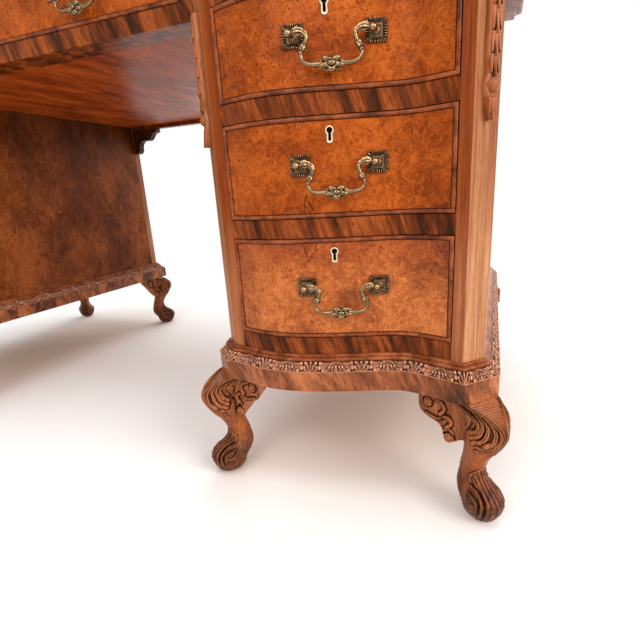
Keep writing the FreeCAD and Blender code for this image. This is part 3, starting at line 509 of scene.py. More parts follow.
def carved(name, dark, middle, light, worn, wear_and_highlight_share):
    """Carved walnut: dark stain and painted shade in the hollows, dark stain down at the feet, and ridges
    paler from wear and painted highlight.
    """
    s = Stuff(name)
    grain = s.noise(s.swirled(s.scaled((60, 60, 16)), 0.5, 1.0), 1.0, 4.0, 0.6)
    colour = s.ramp(grain, (0.38, middle), (0.62, light))
    blotch = s.noise(s.place, 60.0, 3.0)
    low = s.level(s.plus(s.axes()["Z"], s.times(blotch, 0.035)), 0.100, 0.040)
    patch = s.level(s.noise(s.place, 85.0, 3.0), 0.40, 0.58, 0.55, 0.96)
    colour = s.mix(s.times(low, patch), colour, shade(middle, 0.22))
    share = s.minus(wear_and_highlight_share, s.times(low, 0.6 * wear_and_highlight_share))
    # Paler ridges: wear, and a painted highlight
    colour = s.mix(s.times(s.level(s.ridges(), 0.51, 0.55), share), colour, worn)
    # Darker hollows: painted shade where the carving keeps the light off, and dirt, uneven by a noise
    shade_and_dirt = s.plus(s.open_air(0.009), s.times(s.minus(blotch, 0.5), 0.25))
    colour = s.stain_and_shade(colour, shade_and_dirt, 0.90, 0.44, 0.92, dark)
    pores = s.noise(s.scaled((420, 420, 60)), 1.0, 2.0)
    colour = s.stain_and_shade(colour, pores, 0.52, 0.70, 0.45, dark)
    return s.done(Base_Color=colour, Roughness=s.shine(blotch, (0.28, 0.42)),
                  Normal=s.bumped(pores, 0.10, 0.0006), Specular_IOR_Level=POLISH)


def metal(name, colour, dark, rough):
    """Aged brass: dark in the hollows, rubbed bright on the high places."""
    s = Stuff(name)
    stain = s.noise(s.place, 260.0, 4.0, 0.6)
    rubbed = s.level(s.plus(s.ridges(), s.times(s.minus(stain, 0.5), 0.08)), 0.472, 0.59)
    base = s.mix(rubbed, shade(colour, 0.24), colour)
    base = s.stain_and_shade(base, s.open_air(0.004), 0.82, 0.36, 0.92, dark)
    speck = s.level(s.noise(s.place, 900.0, 2.0), 0.58, 0.75)
    base = s.mix(s.times(speck, 0.4), base, dark)
    return s.done(Base_Color=base, Metallic=1.0, Roughness=s.shine(stain, rough),
                  Normal=s.bumped(stain, 0.12, 0.0004))


def leather(name):
    """Tooled leather: pebble grain, a worn, uneven green and dull gilt lines round it."""
    s = Stuff(name)
    pebble = s.cells(s.place, 520.0)["Distance"]
    broad = s.noise(s.place, 7.0, 4.0, 0.6)
    colour = s.ramp(broad, (0.3, (0.020, 0.060, 0.030)), (0.7, (0.045, 0.105, 0.055)))
    colour = s.stain_and_shade(colour, pebble, 0.30, 0.70, 0.35, (0.012, 0.035, 0.018))
    at = s.axes()
    from_side = s.minus(BED_X * MM, s.maths("ABSOLUTE", at["X"]))
    from_end = s.minus(BED_Y * MM, s.off(at["Y"], float(TOP_MIDDLE[1]) * MM))
    inset = s.maths("MINIMUM", from_side, from_end)
    worn = s.level(s.noise(s.place, 180.0, 3.0), 0.36, 0.50)
    for line, wide in ((0.020, 0.0016), (0.026, 0.0007)):
        near = s.level(s.off(inset, line), wide, wide * 0.6)
        colour = s.mix(s.times(near, worn), colour, (0.34, 0.22, 0.07))
    return s.done(Base_Color=colour, Roughness=s.shine(broad, (0.42, 0.58)),
                  Normal=s.bumped(pebble, 0.35, 0.0005))


def plain(name, low, high, rough, polish=0.5):
    """A small plain piece with a little unevenness."""
    s = Stuff(name)
    grain = s.noise(s.place, 400.0, 3.0)
    return s.done(Base_Color=s.ramp(grain, (0.35, low), (0.65, high)), Roughness=rough,
                  Normal=s.bumped(grain, 0.1, 0.0003), Specular_IOR_Level=polish)


BURR = burr("burr_walnut", (0.140, 0.023, 0.0020), (0.31, 0.055, 0.0045), (0.46, 0.100, 0.0110), 0.0,
            polish=0.09, cracks=((0.4935, 0.411, 0.4895, 0.388), (0.4935, 0.408, 0.5020, 0.388)))
# Lower fronts: the burr painted paler, with a painted pale sheen low down and painted shade near their top
BURR_PAINTED_SHEEN = burr("burr_walnut_painted_sheen", (0.17, 0.031, 0.004), (0.38, 0.080, 0.011), (0.56, 0.150, 0.028), 5.0,
                 polish=0.22, cracks=((0.4860, 0.350, 0.4925, 0.329), (0.5040, 0.350, 0.4925, 0.329)),
                 painted_light_by_height=(0.30, 0.345, (1.06, 1.17, 1.35), (0.80, 0.70, 0.60)))
# Side panels: burr with painted shade under the top, from pieces within 0.55 m
BURR_DARK = burr("burr_walnut_panel", (0.085, 0.020, 0.003), (0.23, 0.052, 0.008), (0.42, 0.112, 0.024), 3.1,
                 blotch=0.42, polish=0.08, stretch=(0.35, 0.9, 0.62), painted_shade_reach=0.55)
RAIL = straight("crossbanded_walnut", (0.034, 0.008, 0.001), (0.150, 0.029, 0.004), (0.31, 0.067, 0.011),
                (58, 58, 6), 0.0, streak=0.66, turn=(0, 0.34, 0), polish=0.1)
PLINTH = straight("plinth_walnut", (0.060, 0.016, 0.005), (0.25, 0.066, 0.019), (0.46, 0.145, 0.050),
                  (34, 34, 8), 4.0, streak=0.72, turn=(0, 0.5, 0))
# Posts and panels: painted shade high up on what faces the front, under the top; on the sides a painted pale
# sheen low down and painted shade high up
POST = straight("post_walnut", (0.27, 0.083, 0.026), (0.38, 0.128, 0.044), (0.49, 0.190, 0.076),
                (170, 170, 5), 7.0, rough=(0.42, 0.55), polish=0.12,
                front=(0.275, 0.41, (0.92, 0.84, 0.80), (0.58, 0.29, 0.06)),
                sides=(0.27, 0.47, (1.09, 1.33, 1.65), (0.78, 0.80, 0.86)))
UNDER = straight("underboard_walnut", (0.16, 0.024, 0.002), (0.30, 0.050, 0.005), (0.42, 0.078, 0.010),
                 (30, 8, 30), 6.0, polish=0.05)
# Knee-space brackets: walnut painted nearly black, painted shade for the shadow they stand in
SHADED_BRACKET = straight("bracket_walnut_painted_shade", (0.018, 0.005, 0.001), (0.055, 0.013, 0.003), (0.105, 0.026, 0.006),
                   (30, 8, 30), 9.0, polish=0.1)
BEAD = straight("bead_walnut", (0.07, 0.014, 0.003), (0.20, 0.041, 0.008), (0.32, 0.078, 0.018),
                (30, 30, 30), 2.0, rough=(0.18, 0.28), polish=0.25)
REED = straight("reed_walnut", (0.13, 0.030, 0.008), (0.27, 0.066, 0.019), (0.40, 0.122, 0.046),
                (30, 30, 30), 2.0, rough=(0.37, 0.49), polish=0.13)
OAK = straight("drawer_oak", (0.22, 0.125, 0.055), (0.36, 0.215, 0.100), (0.46, 0.290, 0.145),
               (60, 5, 60), 9.0, rough=(0.5, 0.65))
# Fourth colour and share: ridges paler by wear and by painted highlight
CARVED = carved("carved_walnut", (0.020, 0.006, 0.002), (0.21, 0.051, 0.012), (0.36, 0.096, 0.026),
                (0.58, 0.23, 0.10), 0.45)
BAND = carved("moulding_walnut", (0.080, 0.027, 0.013), (0.25, 0.072, 0.026), (0.40, 0.135, 0.056),
              (0.75, 0.41, 0.27), 0.75)
STAIN = plain("dark_stain", (0.020, 0.006, 0.003), (0.060, 0.016, 0.006), 0.5, polish=0.1)
RIM = plain("keyhole_rim", (0.56, 0.42, 0.27), (0.72, 0.57, 0.40), 0.35)
# A flat near-black sheet closes each keyhole: painted shade for the hole
KEYHOLE_SHADE = plain("keyhole_painted_shade", (0.004, 0.003, 0.003), (0.010, 0.006, 0.004), 0.7, polish=0.0)
BRASS = metal("aged_brass", (0.50, 0.31, 0.16), (0.022, 0.010, 0.004), (0.20, 0.36))
LEATHER = leather("green_leather")

# Looks of the CAD nodes, by how their names end

NODE_LOOKS = (("_side", BURR_DARK), ("_box", OAK), ("_runners", OAK), ("_floors", OAK), ("_rails", RAIL),
              ("desktop", RAIL), ("_plinth", PLINTH), ("_underboard", UNDER), ("_panels", POST),
              ("_posts", POST), ("leather_inset", LEATHER), ("_bail", BRASS), ("_hardware", BRASS),
              ("_front", BURR), ("", CARVED))
for name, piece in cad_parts.items():
    piece.data.materials.clear()
    piece.data.materials.append(next(look for ending, look in NODE_LOOKS if name.endswith(ending)))
    piece.data.polygons.foreach_set("material_index", [0] * len(piece.data.polygons))


# Drawer fronts

def drawer_front(left, right, floor, height, face, back):
    """The front board of an opening: a burr panel inside a half-round bead, flat behind."""
    bead_half, bead_out, groove, edge = 2.45, 2.5, -0.7, -8.0
    count = 72
    left, right = left + FRONT_PLAY, right - FRONT_PLAY
    low, high = floor + FRONT_PLAY, floor + height - FRONT_PLAY
    nose = [(bead_half - bead_half * math.cos(turn), 0.1 + bead_out * math.sin(turn))
            for turn in np.linspace(0, math.pi, 11)]
    profile = [(0.0, edge)] + nose + [(5.0, groove), (5.5, groove), (5.7, 0.0)]
    rings = []
    for inset, reach in profile:
        x = np.linspace(left + inset, right - inset, count)
        x = np.concatenate([x, x[::-1]])
        z = np.repeat((low + inset, high - inset), count)
        rings.append(np.stack([x, face(x) - reach, z], -1))
    inner, rear = rings[-1], at_depth(rings[0], back)
    shape = Shape().grid(rings[:-3], 1, ring=True).grid(rings[-4:], 3, ring=True)
    shape.grid([inner[:count], inner[count:][::-1]])
    return shape.grid([rear, rings[0]], 2, ring=True).cap(rear, 2)


# Carving. Plain numbers in the reliefs are heights and widths of ridges and hollows in millimetres.

def sprig(stems, x, y, tips=False):
    """Height of rounded, ribbed stems, and how far a place is outside the nearest one."""
    height = np.zeros_like(x)
    outside = np.full_like(x, 99.0)
    for points, start, end, tall in stems:
        line = path_through(points, 30)
        gap, t = distance_to(line, x, y)
        wide = start + (end - start) * t
        body = swell(gap / wide, 0.55) * tall * (0.65 + 0.35 * t)
        body -= 0.30 * tall * bump(gap, 0.22 * wide) * smooth_step(0.95, 0.75, t) * tips
        away = np.hypot(x - line[-1, 0], y - line[-1, 1])
        curl = 1.25 * tall * swell(away / (1.1 * end)) * tips
        height = np.maximum.reduce([height, body, curl])
        outside = np.minimum(outside, gap - wide)
    return height, outside


def hung_grid(edge, columns, rows):
    """Places over a plate that hangs from zero down to an edge, in rows from that edge up."""
    x = np.linspace(edge[0, 0], edge[-1, 0], columns)
    low = np.interp(x, edge[:, 0], edge[:, 1])
    return np.ones((rows, 1)) * x, low * (1 - np.linspace(0, 1, rows)[:, None])


def plate(front, back):
    """A hanging plate, from the places on its front and the line of its lower rear edge."""
    top = at_depth(front[-1], back[0, 1])
    shape = Shape().grid(front).grid([back, front[0]]).grid([top, back]).grid([front[-1], top])
    for column in (0, -1):
        shape.cap([back[column], top[column], *front[::-1, column]])
    return shape


# Carved moulding round a pedestal

# Stems of carved leaves: points from root to tip, half width at both, height. On the leaf band a point is
# a distance from the middle of a pair of leaves and a height; on a leg, a distance round it from its ridge
# and a height over the floor; on an ear, a distance from the leg and a height under the plinth.
BAND_STEMS = (([(0, 12.0), (4.5, 11.4), (8, 9.2), (9.2, 5.6)], 1.3, 2.0, 2.8),
              ([(10.5, 11.0), (15.5, 9.8), (22, 10.6)], 1.5, 2.9, 3.4),
              ([(11.5, 7.8), (16.5, 5.6), (23, 5.4)], 1.5, 3.1, 3.6),
              ([(10.0, 4.4), (13.5, 2.0), (18.0, 1.5)], 1.4, 2.5, 3.2),
              ([(0, 0.6), (0, 3.2), (0, 6.2)], 3.2, 1.9, 3.0),
              ([(5.2, 0.8), (5.8, 3.0), (4.8, 5.8)], 1.4, 1.8, 2.6),
              ([(36, 0.4), (36, 6.0), (36, 12.0)], 1.2, 2.0, 2.8),
              ([(34.0, 0.6), (32.4, 6.0), (28.6, 11.2)], 1.3, 2.6, 3.4),
              ([(31.8, 0.7), (29.0, 2.2), (26.8, 5.6)], 1.3, 2.2, 3.0))
# The pattern's length and height as drawn, and the band's own foot, height, stand-off and share of the relief
BAND_PERIOD, BAND_DRAWN = 72.0, 12.8
BAND_FOOT, BAND_H, BAND_OUT, BAND_RELIEF = 0.8, 9.8, 16, 0.66
MOULDING_H, MOULDING_IN = 19.0, -6.0


def leaf_band(s, period, y):
    """Relief of the leaf band: pairs of ribbed leaves that turn apart, with a bud between the pairs."""
    side = np.abs((s % period) - period / 2) * (BAND_PERIOD / period)
    ribs, outside = sprig(BAND_STEMS, side, y, True)
    return ribs - 1.2 * smooth_step(1.8, 0.4, outside) - 0.6


def reed(z, out, tall, deep, count):
    """Profile of one rounded reed: heights and stand-offs."""
    return [(z + tall * math.sin(a), out + deep * math.cos(a)) for a in np.linspace(-1.2, 1.35, count)]


def pedestal_moulding():
    """The moulding round the right pedestal: leaf band with a lip below it, and two reeds above."""
    corners = np.array([(INNER_X, BACK_Y), (INNER_X, CENTRE_FACE_Y), (FACE_START, FRONT_Y),
                        (FACE_END, FRONT_Y), (OUTER_X, CENTRE_FACE_Y), (OUTER_X, BACK_Y)])
    inner, inner_cant, _, outer_cant, outer, rear = (
        np.linspace(start, end, count)
        for start, end, count in zip(corners, np.roll(corners, -1, axis=0), (700, 70, 2, 70, 700, 380)))
    face = path_through(face_line, 560)
    lines = [inner, inner_cant, face, outer_cant, outer, rear]
    starts = [facing_of(line[1] - line[0]) for line in lines]
    ends = [facing_of(line[-1] - line[-2]) for line in lines]
    base, reach, along, periods = [], [], [], []
    for i, line in enumerate(lines):
        before = ends[i - 1]
        after = starts[(i + 1) % len(lines)]
        first = (before + starts[i]) / (1 + before @ starts[i])
        last = (ends[i] + after) / (1 + ends[i] @ after)
        step = unit(np.gradient(line, axis=0))
        normal = np.stack([step[:, 1], -step[:, 0]], -1)
        t = np.linspace(0, 1, len(line))[:, None]
        haste = 8 if line is face else 1
        lean = (first - starts[i]) * np.clip(1 - t * haste, 0, 1)
        lean = lean + (last - ends[i]) * np.clip(1 - (1 - t) * haste, 0, 1)
        run = lengths(line + (normal + lean) * BAND_OUT)
        base.append(line[:-1])
        reach.append((normal + lean)[:-1])
        along.append(run[:-1])
        periods.append(np.full(len(line) - 1, run[-1] / max(1, round(run[-1] / BAND_PERIOD))))
    base, reach, along, periods = (np.concatenate(parts) for parts in (base, reach, along, periods))

    reeds = reed(12.9, 5.2, 2.2, 2.5, 11) + [(15.4, 4.4)] + reed(17.2, 2.3, 1.6, 2.0, 9)
    # Profile from the foot up: height, stand-off, whether it is carved
    profile = [(0.0, MOULDING_IN, 0), (0.0, 18.4, 0), (0.5, 19.0, 0)]
    profile += [(BAND_FOOT + BAND_H * v, 18.6 - 11.0 * v ** 0.9, 1) for v in np.linspace(0, 1, 27)]
    profile += [(z, out, 0) for z, out in reeds + [(MOULDING_H, 0.6), (MOULDING_H, MOULDING_IN)]]
    rings = []
    for z, out, carve in profile:
        lift = np.zeros(len(along))
        if carve:
            lift = leaf_band(along, periods, np.full(len(along), (z - BAND_FOOT) * BAND_DRAWN / BAND_H))
            lift *= smooth_step(0.6, 1.4, z) * smooth_step(10.7, 10.1, z)
        plan = base + reach * np.reshape(out + BAND_RELIEF * lift, (-1, 1))
        rings.append(np.column_stack([plan, PLINTH_TOP + z + BAND_RELIEF * lift]))
    above = len(reeds) + 1
    return Shape().grid(rings[1:-above], 0, ring=True).grid(rings[-above - 1:] + rings[:2], 1, ring=True)


# Cabriole legs

# Share of the height, then of the throw, of the girth for the depth, and the width as a share of the depth
LEG_SHARES = ((0.0, 1.06, 0.38, 0.82), (0.04, 1.0, 0.60, 0.88), (0.12, 1.04, 0.78, 0.90),
              (0.22, 0.79, 0.90, 0.77), (0.33, 0.35, 0.62, 0.72), (0.44, 0.33, 0.49, 0.94),
              (0.56, 0.63, 0.55, 1.0), (0.70, 0.90, 0.80, 0.82), (0.84, 0.88, 0.97, 0.62),
              (0.93, 0.44, 0.88, 0.90), (1.0, 0.0, 0.66, 0.97))
leg_share, throw_share, depth_share, width_share = np.array(LEG_SHARES).T
# The top of a leg is shallower and wider, to fill the canted corner
leg_top = leg_share > 0.99
leg_throw = spline(leg_share * LEG_H, throw_share * LEG_THROW)
leg_depth = spline(leg_share * LEG_H, depth_share * LEG_GIRTH - 4.0 * leg_top)
leg_width = spline(leg_share * LEG_H, depth_share * width_share * LEG_GIRTH + 6.0 * leg_top)
# Half width of the plain panel on the ridge of a knee, by height
panel_half = spline((90, 128, 134, 140, 146.75, 150, 152.75, 155, 157.5, 160),
                    (0, 0.6, 1.4, 2.8, 4.4, 6.2, 9.0, 13.0, 19.5, 26.0))
KNEE_STEMS = (([(40, 156), (42, 149), (44, 142), (47.5, 133), (52, 127)], 1.5, 3.0, 4.0),
              ([(30, 157), (29.5, 151), (33, 144), (35, 134), (37, 127.5), (41, 125)], 1.6, 3.2, 4.6),
              ([(19, 157.5), (21.5, 150), (28, 141), (31, 130), (34, 123), (39, 119.5)], 1.7, 3.6, 5.0),
              ([(14, 156), (16.5, 148), (22.5, 137), (25, 125), (28.5, 117.5), (35, 114.5)], 1.8, 4.0, 5.2),
              ([(9.8, 154), (10.8, 146), (13.6, 135), (14.5, 125), (15.5, 118), (20.5, 115.5)],
               1.8, 4.2, 5.2),
              ([(13, 111), (18, 107.5), (24, 107), (29.5, 109.5)], 1.4, 2.0, 3.2),
              ([(10.5, 103.5), (16, 100), (22, 99.5), (26, 101.5)], 1.2, 1.6, 2.4))
FOOT_STEMS = (([(0, 67), (0, 50), (0, 30), (0, 4)], 1.6, 3.4, 2.4),
              ([(6.0, 65), (5.8, 54), (6.6, 44), (7.8, 33), (8.4, 20), (7.4, 4)], 1.6, 3.3, 2.6),
              ([(14, 60.5), (12.0, 54.5), (12.4, 45), (14.2, 36), (15.4, 24), (13.6, 5)], 1.7, 3.1, 2.8),
              ([(24.5, 46.5), (22, 42), (21.8, 36), (23.4, 28), (22.8, 15), (19.4, 4)], 1.6, 2.6, 3.2),
              ([(0, 68.5), (8, 65), (15, 60.5), (22, 51.5), (24.5, 46.5)], 1.3, 1.5, 2.8))
# Creases of a foot: the side of the leaf, and the roll that the leg ends in
FOOT_CREASES = (([(23.5, 49), (17.8, 45.5), (17.2, 38.5), (18.4, 31), (18.6, 20), (16.5, 6)], 1.5),
                ([(22, 10), (26, 19), (25.6, 30), (28.4, 39), (34.5, 41.5), (39, 37), (37.5, 31),
                  (33, 30.5)], 1.7))
ROLL_U, ROLL_Z, ROLL_WIDE = 36.0, 30.0, 11.0


def leg_relief(turn, z, depth, width):
    """How far the carving stands off the plain leg."""
    u = np.abs(turn) * (depth + width) / 2
    q = u - panel_half(z)
    knee = smooth_step(90, 99, z) * smooth_step(159.8, 157.5, z)
    ladder = (-0.9 + 0.45 * np.cos(z * TAU / 1.5)) * smooth_step(0.5, -0.7, q)
    border = 2.5 * bump(q - 1.6, 1.1) + 2.1 * bump(q - 4.6, 1.1) - 1.0 * bump(q - 3.1, 0.55)
    leaf, outside = sprig(KNEE_STEMS, u, z, True)
    leaf = leaf - 2.4 * smooth_step(3.4, 0.8, outside)
    knee_carving = knee * (ladder + border + smooth_step(5.4, 6.6, q) * leaf - 0.8)
    ribs, outside = sprig(FOOT_STEMS, u, z)
    foot = ribs - 1.2 * smooth_step(3.0, 0.6, outside)
    foot = foot + 0.5 * np.sin(0.8 * u + 0.3 * z) * np.sin(0.5 * z - 0.25 * u)
    foot += 2.2 * bump(u - ROLL_U, ROLL_WIDE) * bump(z - ROLL_Z, ROLL_WIDE)
    for points, wide in FOOT_CREASES:
        foot -= 3.6 * bump(distance_to(path_through(points, 40), u, z)[0], wide)
    worn_flat = 0.40 + 0.60 * smooth_step(10, 44, z)
    return knee_carving + foot * worn_flat * smooth_step(72, 67, z)


def cabriole():
    """A leg in its own frame: X points out of the corner, the floor is at zero."""
    levels = steps((0, 70, 110), (70, 88, 12), (88, 136, 84), (136, LEG_H, 96))
    turns = steps((-math.pi, -2.1, 14), (-2.1, 2.1, 210), (2.1, math.pi, 14))[:-1]
    z, turn = np.meshgrid(levels, turns, indexing="ij")
    throw, depth, width = leg_throw(z), leg_depth(z), leg_width(z)
    cos, sin = np.cos(turn), np.sin(turn)
    # Under the plinth the section goes from round to the plan of the canted corner
    power = 2 / (2 + 2.2 * smooth_step(128, 158, z))
    across = np.sign(sin) * np.abs(sin) ** power
    out = throw + depth * (np.sign(cos) * np.abs(cos) ** power)
    slope = np.gradient(out, levels, axis=0)
    lift = leg_relief(turn, z, depth, width) * smooth_step(0.0, 2.5, z)
    normal = unit(np.stack([cos / depth, sin / width, -slope * cos / depth], -1))
    points = np.stack([out, width * across, z], -1) + normal * lift[..., None]
    points[..., 2] = np.clip(points[..., 2], 0, LEG_H)
    points[0, :, 2] = 0
    points[-1, :, 2] = LEG_H
    return Shape().grid(points, ring=True).cap(points[0]).cap(points[-1])


ear_edge = path_through([(60.4, 0), (60.6, -8), (60, -16), (56.5, -25.5), (48.3, -31.5), (38, -35.5),
                         (30.8, -39.3), (27.4, -44.5), (26.2, -52), (23.8, -59), (17, -62), (10.8, -58.5),
                         (5, -55), (-8, -60)], 260)
# Round scrolls of an ear: distance along it, height, radius
EAR_SCROLLS = ((46.6, -11.3, 6.3), (17.8, -53.6, 6.8))
EAR_STEMS = (([(41, -5.5), (33, -6.5), (27.5, -9.5), (25, -16.5), (29, -23)], 1.6, 2.8, 3.4),
             ([(49, -27), (41, -29.5), (33, -31), (25, -26), (17.5, -27.5), (15, -33), (19, -37.5)],
              1.6, 2.6, 3.6),
             ([(22.5, -40.5), (17, -41.5), (13, -46), (11.5, -52)], 1.6, 2.2, 3.2))
# Rear bevel of an ear: distance along it, height (its first height is that of the edge)
EAR_BEVEL = ((-8.0, 16.0, 60.4), (-61.0, -11.0))
EAR_ROUND = 2.4


def knee_ear():
    """A knee bracket in its own frame: X along the plinth, Y into the desk, top at zero."""
    keep = np.concatenate([[True], np.diff(np.minimum.accumulate(ear_edge[:, 0])) < 0])
    xx, zz = hung_grid(ear_edge[keep][::-1], 132, 90)
    gap = distance_to(ear_edge, xx, zz)[0]
    lift = np.maximum(2.4 * smooth_step(3.6, 2.2, gap), 3.4 * smooth_step(24.0, 4.0, xx)) - 1.2
    leaves, outside = sprig(EAR_STEMS, xx, zz, True)
    lift = np.maximum(lift, leaves) - 1.2 * smooth_step(2.6, 0.6, outside) * (leaves <= 0)
    for cx, cz, radius in EAR_SCROLLS:
        away = np.hypot(xx - cx, zz - cz)
        spin = np.arctan2(zz - cz, xx - cx) / TAU + 0.5
        eye = 4.8 * swell(away / radius) - 1.4 * bump(away - radius * (0.42 + 0.4 * spin), 0.7)
        lift = np.where(away < radius, eye - 0.4, np.where(away < radius + 1.8, -2.2, lift))
    tuck = 8.0 * smooth_step(14.0, -4.0, xx)
    round_off = EAR_ROUND * (1 - swell(1 - np.clip(gap / EAR_ROUND, 0, 1)))
    front = np.stack([xx, -lift + round_off + tuck, zz], -1)
    back = at_depth(front[0], EAR_BACK)
    back[:, 2] = np.interp(xx[0], EAR_BEVEL[0], (zz[0, 0], *EAR_BEVEL[1]))
    return plate(front, back)


def leg_places():
    """Each leg of the right pedestal: its axis, where it points, and its ears' corners and directions."""
    inner_side, start, end, outer_side = front_corners(PLINTH_OUT)
    plinth_face = face_moved(face_dense[::20], PLINTH_OUT)

    def chord(corner, reach):
        x = corner[0] + reach
        return np.array((x, np.interp(x, plinth_face[:, 0], plinth_face[:, 1]))) - corner

    back, ahead, right, left = (0, 1), (0, -1), (1, 0), (-1, 0)
    front_leg_y, rear_leg_y = FRONT_Y + CANT_D / 2, BACK_Y - REAR_LEG_IN
    along_start, along_end = chord(start, EAR_REACH), chord(end, -EAR_REACH)
    inner_rear = (INNER_X - PLINTH_OUT, BACK_Y + PLINTH_OUT)
    outer_rear = (OUTER_X + PLINTH_OUT, BACK_Y + PLINTH_OUT)
    return (((FACE_START - CANT_W / 2, front_leg_y), -135, ((start, along_start), (inner_side, back))),
            ((FACE_END + CANT_W / 2, front_leg_y), -45, ((end, along_end), (outer_side, back))),
            ((INNER_X + REAR_LEG_IN, rear_leg_y), 135, ((inner_rear, right), (inner_rear, ahead))),
            ((OUTER_X - REAR_LEG_IN, rear_leg_y), 45, ((outer_rear, left), (outer_rear, ahead))))


def pedestal_legs():
    """The four legs of the right pedestal with their ears."""
    leg, ear = cabriole(), knee_ear()
    whole = Shape()
    for axis, angle, ears in leg_places():
        axis = np.array(axis)
        cos, sin = math.cos(math.radians(angle)), math.sin(math.radians(angle))
        whole.join(leg.placed((*axis, 0), (cos, sin), (-sin, cos)))
        for corner, along in ears:
            corner, along = np.asarray(corner, float), unit(np.asarray(along, float))
            inward = np.array((-along[1], along[0]))
            if inward @ (axis - corner) < 0:
                inward = -inward
            foot = corner + along * ((axis - corner) @ along) + inward * EAR_SETBACK
            whole.join(ear.placed((*foot, LEG_H), along, inward))
    return whole


# Handles, keyholes and locks

def post_seat(pivot):
    """Where the post of a pivot meets the serpentine face, and the directions there."""
    along, facing = face_along(pivot[0])
    return np.array((pivot[0], float(face_y(pivot[0])))), along, facing


# Profile of a back plate: share of the way to its edge, height
PLATE_PROFILE = ((0, 0.26, 0.36, 0.46, 0.58, 0.70, 0.84, 0.95, 1.0),
                 (3.6, 3.4, 1.8, 1.4, 1.5, 2.1, 2.6, 2.0, 0.6))
# Profile of a post's neck: share of its length, radius
NECK_PROFILE = ((0, 0.18, 0.30, 0.45, 0.62, 0.78, 1.0), (4.6, 4.4, 3.0, 2.6, 3.9, 3.0, 2.4))
# Profile of a nut: distance behind the board, radius
NUT_PROFILE = ((0.2, 5.2), (0.2, 5.6), (0.8, 6.0), (3.4, 6.0), (4.0, 5.4), (4.0, 2.4))
PLATE_CORNER, PLATE_SUNK, SIDE_RAYS = 1.31, 0.3, 8
# A keyhole and the rim round it: radius of the head, half width of the waist and of the foot, length
KEYHOLE = (3.4, 1.6, 1.8, 13.6)
KEYHOLE_RIM = (5.0, 3.3, 3.5, 16.4)


def rosette():
    """A square rayed back plate: X along the drawer, Y into it, Z up."""
    turns, rows = 256, 26
    turn = circle(turns)
    cos, sin = np.cos(turn), np.sin(turn)
    reach = PLATE_HALF / np.maximum(np.abs(cos), np.abs(sin))
    reach = np.minimum(reach, PLATE_HALF * PLATE_CORNER)
    wide = np.abs(cos) > np.abs(sin)
    side = np.where(wide, sin / np.where(wide, cos, 1), cos / np.where(wide, 1, sin))
    rays = np.abs(np.sin((side + 1) / 2 * SIDE_RAYS * math.pi))
    edge = reach * (0.88 + 0.12 * rays ** 0.6)
    share = np.linspace(0, 1, rows)[:, None]
    ray_height = 1.2 * smooth_step(0.48, 0.74, share) * smooth_step(1.0, 0.95, share)
    height = spline(*PLATE_PROFILE)(share) + ray_height * (rays[None, :] * 2 - 1)
    points = np.stack([share * edge * cos, -height, share * edge * sin], -1)
    rim = at_depth(points[-1], PLATE_SUNK)
    return Shape().grid(points, ring=True).grid([points[-1], rim], ring=True).cap(rim)


def post(pivot, seat, along, facing, level, back):
    """One post: rayed plate, turned neck, ball end, shank through the board and nut behind it."""
    up = (0, 0, 1)
    root, tip, shank_r, shank_end = 0.08, 1.2, 2.2, 7.5
    shape = rosette().placed((*seat, level), along, -facing)
    way = pivot - seat
    t = np.linspace(root, 1, 24)
    neck = np.column_stack([seat + np.outer(t, way), np.full(len(t), level)])
    shape.tube(neck, spline(*NECK_PROFILE)(t), 18, up)
    shape.ball((*(pivot + unit(way) * tip), level), (BALL, BALL, BALL), 22, 14)
    shank = np.array([(seat[0], y, level) for y in np.linspace(seat[1] + 1.0, back + shank_end, 6)])
    shape.tube(shank, np.full(len(shank), shank_r), 12, up)
    x, z = np.cos(circle(6)), np.sin(circle(6))
    nut = [np.column_stack([seat[0] + radius * x, np.full(len(x), back + y), level + radius * z])
           for y, radius in NUT_PROFILE]
    return shape.grid(nut, ring=True)


def keyhole_outline(radius, waist, foot, length):
    """Keyhole outline: a round head over a foot that widens."""
    count = 18
    start = math.asin(waist / radius)
    turn = np.linspace(-math.pi / 2 + start, 1.5 * math.pi - start, count * 2)
    head = np.stack([radius * np.cos(turn), radius * np.sin(turn)], -1)
    left = np.linspace(head[-1], (-foot, radius - length), count)[1:]
    turn = np.linspace(math.pi, TAU, 10)[1:-1]
    corner = np.stack([foot * np.cos(turn), radius - length + foot * np.sin(turn) * 0.7], -1)
    right = np.linspace((foot, radius - length), head[0], count)[:-1]
    return np.concatenate([head, left, corner, right])


def escutcheon():
    """A pale rim round a keyhole whose hole is a flat sheet painted dark as painted shade: X along the
    drawer, Y into it, Z up.
    """
    outer, inner = keyhole_outline(*KEYHOLE_RIM), keyhole_outline(*KEYHOLE)
    profile = ((outer, 0.6), (outer, -0.7), (outer * 0.93 + inner * 0.07, -1.15),
               (outer * 0.2 + inner * 0.8, -1.15), (inner, -0.8), (inner, -0.1))
    rings = [np.insert(line, 1, y, axis=1) for line, y in profile]
    return Shape().grid(rings, 1, ring=True).cap(rings[-1], 2)


